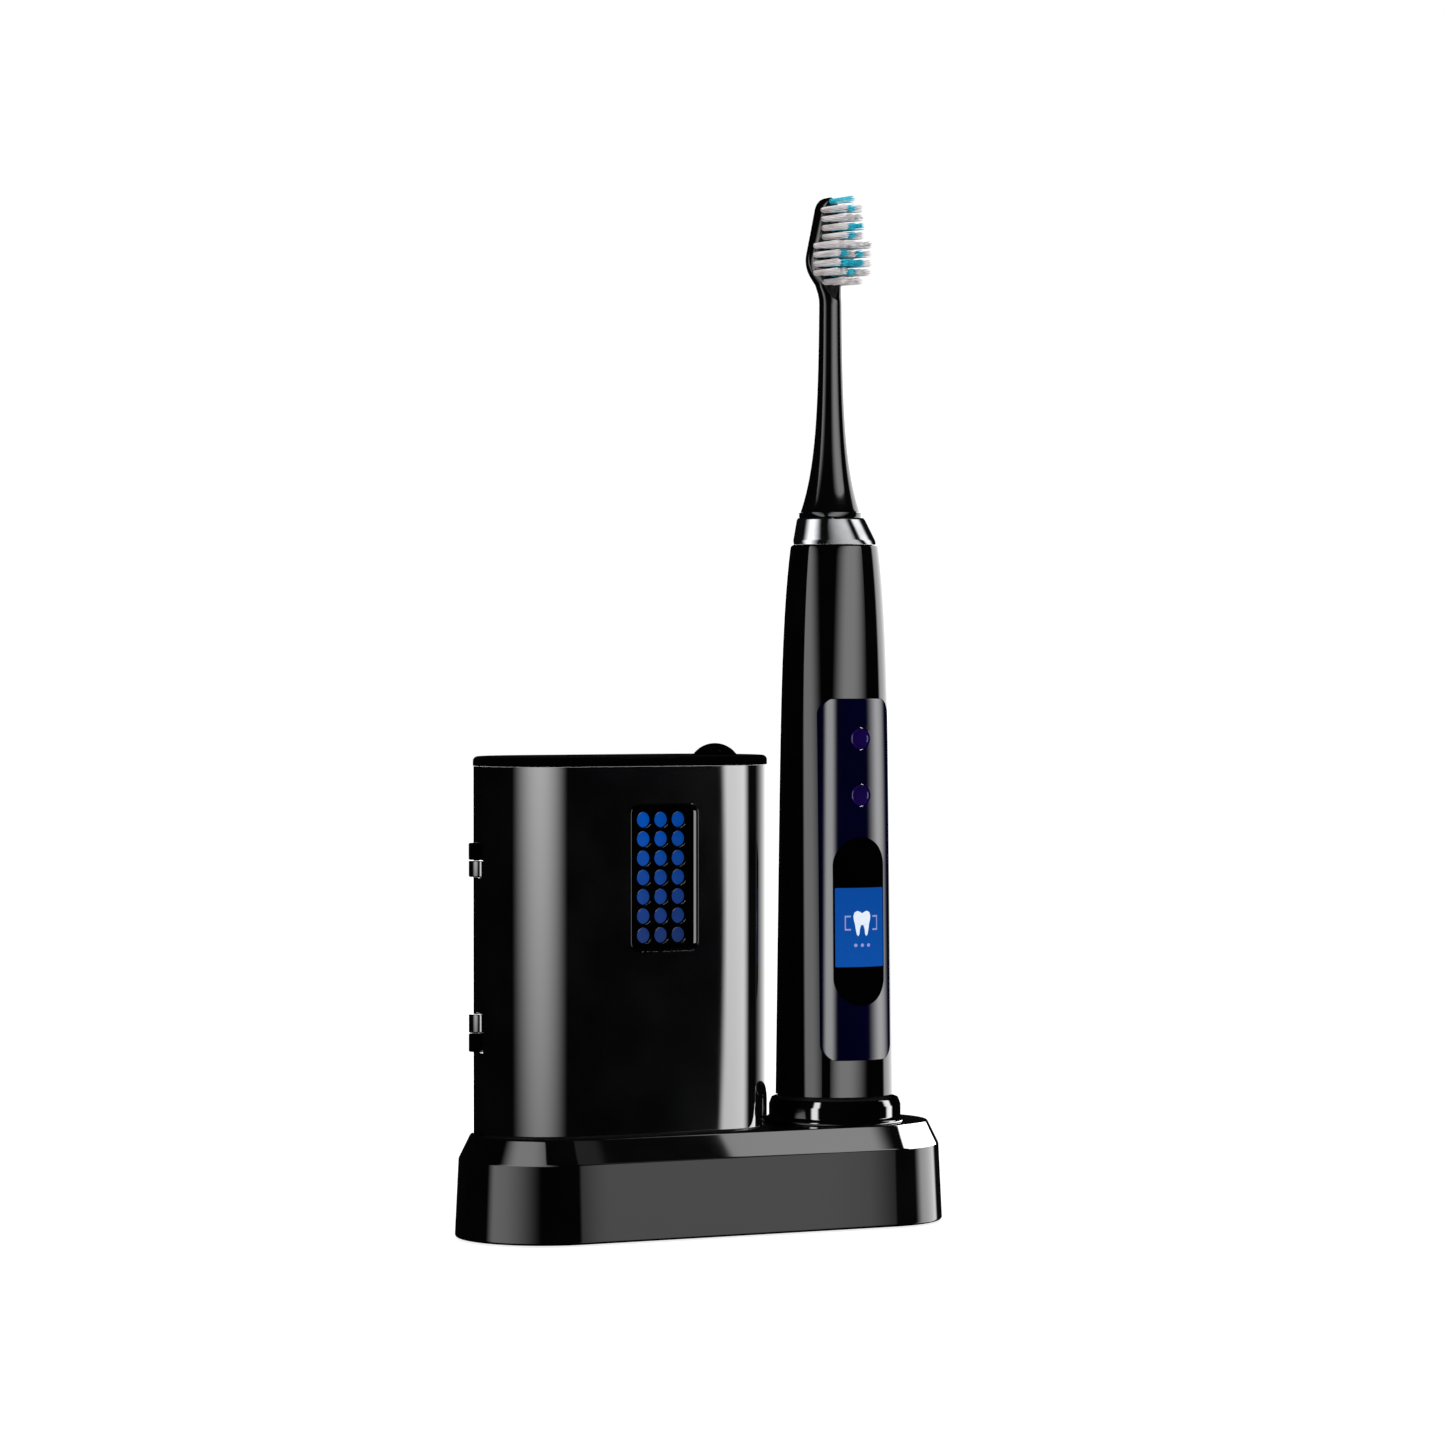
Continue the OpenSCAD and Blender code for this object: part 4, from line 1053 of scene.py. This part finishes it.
def build_world():
    """White to the eye, dim to a reflection, and a soft fill for the rest."""
    world = bpy.data.worlds.new("world")
    bpy.context.scene.world = world
    world.use_nodes = True
    tree = world.node_tree
    background = tree.nodes["Background"]
    background.inputs["Color"].default_value = (1, 1, 1, 1)
    path = tree.nodes.new("ShaderNodeLightPath")
    level = tree.nodes.new("ShaderNodeValue").outputs["Value"]
    level.default_value = 0.55
    for ray, value in (("Is Glossy Ray", 0.004), ("Is Camera Ray", 1.0)):
        mix = tree.nodes.new("ShaderNodeMix")
        tree.links.new(level, mix.inputs["A"])
        mix.inputs["B"].default_value = value
        tree.links.new(path.outputs[ray], mix.inputs["Factor"])
        level = mix.outputs["Result"]
    tree.links.new(level, background.inputs["Strength"])


def build_lights(floor):
    """Panels of light for the bands on each gloss piece, and one lamp overhead for the matt ones."""
    low, high = -0.35, 0.6
    cabinet = [BACK[0], *DOOR]
    softbox("cabinet_left", CABINET_X, (-54, 34), (low, high), (1.4, 11.5), cabinet, (0.5, 0.5))
    softbox("cabinet_right", CABINET_X, (54.3, 98), (low, high), (8, 13), cabinet, (0.03, 0.35))
    softbox("cabinet_edge", CABINET_X, (112, 200), (low, high), (2.4, 2.8), cabinet, (0.4, 0.1))
    softbox("window_side", WINDOW_X, (75, 128), (-0.1, 0.25), (3, 3), [RIM], (0.3, 0.3))
    softbox("window_wall", WINDOW_X, (-145, -106), (-0.1, 0.25), (2, 2), [RIM], (0.2, 0.2))
    softbox("hole_glint", WINDOW_X, (72, 130), (-0.8, -0.15), (9, 9), GRILLE, (0.3, 0.3))
    base, side, bevel = [BASE], (low, 0.07), (0.1, 0.8)
    softbox("base_left", 0, (-78, -4), side, (1.8, 2.2), base, (0.2, 0.7))
    softbox("base_front", 0, (41, 62), side, (0.95, 1.35), base, (0.35, 0.35))
    softbox("base_right", 0, (88, 138), side, (3.2, 3.5), base, (0.3, 0.2))
    softbox("bevel_left", 0, (-70, 20), bevel, (3.4, 3.4), base, (0.35, 0.5))
    softbox("bevel_middle", 0, (48, 57), bevel, (0.25, 0.25), base, (0.3, 0.2))
    softbox("bevel_front", 0, (59, 71), (0.12, 0.4), (4.1, 4.1), base, (0.03, 0.25), 0.0, 0.3)
    softbox("bevel_right", 0, (80, 150), bevel, (22, 22), base, (0.05, 0.1))
    softbox("seat_left", SEAT_X, (-44, -28), (low, high), (14, 14), [SEAT], (0.3, 0.3))
    softbox("seat_right", SEAT_X, (98, 120), (low, high), (9, 9), [SEAT], (0.3, 0.3))
    handle = [HANDLE, STEM]
    softbox("handle_left", SEAT_X, (-72, -26), (low, high), (2.3, 2.8), handle, (0.14, 0.6), 1.4)
    softbox("handle_front", SEAT_X, (-10, 72), (low, high), (3.1, 3.6), handle, (0.4, 0.5), -0.6)
    softbox("handle_edge", SEAT_X, (106, 190), (low, high), (2.6, 2.8), handle, (0.12, 0.1))
    softbox("panel_left", SEAT_X, (-26, 5), (low, high), (5.3, 5.5), [PANEL], (0.35, 0.45))
    softbox("panel_right", SEAT_X, (67, 128), (low, high), (4.6, 4.8), [PANEL], (0.5, 0.55))
    softbox("key_left", SEAT_X, (-100, 5), (low, high), (2.2, 2.2), KEYS, (0.4, 0.4))
    tall = 2.4
    softbox("ring_left", SEAT_X, (-108, -48), (low, tall), (1.2, 1.2), [RING], (0.5, 0.6))
    softbox("ring_front", SEAT_X, (-28, 88), (low, tall), (0.5, 0.5), [RING], (0.7, 0.25))
    softbox("ring_right", SEAT_X, (95, 135), (low, tall), (0.85, 0.85), [RING], (0.3, 0.4))
    softbox("bristle_front", SEAT_X, (-60, 120), (low, high), (0.85, 0.85), BRISTLES, (0.3, 0.3))
    over = bpy.data.lights.new("overhead", "AREA")
    over.shape, over.size, over.size_y, over.energy = "RECTANGLE", 1.6, 1.6, 26
    lamp = placed("overhead", over)
    aimed(lamp, Vector((-0.3, -0.7, 1.3)), Vector((0.3, 0.7, -1.2)))
    matt = [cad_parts[node] for nodes in CAD_LOOKS.values() for node in nodes]
    link_light(lamp, [floor, *BRISTLES, *matt])


def hide_from_reflections():
    """Gloss pieces mirror only the lights, and not each other."""
    gloss = (*BACK, *DOOR, RIM, *GRILLE, CAP, DOME, HANDLE, STEM, PANEL, *KEYS, RING)
    for obj in (*gloss, *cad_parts.values()):
        obj.visible_glossy = False


FLOOR = build_floor()
build_camera()
build_world()
build_lights(FLOOR)
hide_from_reflections()
bpy.context.scene.view_settings.view_transform = "Standard"
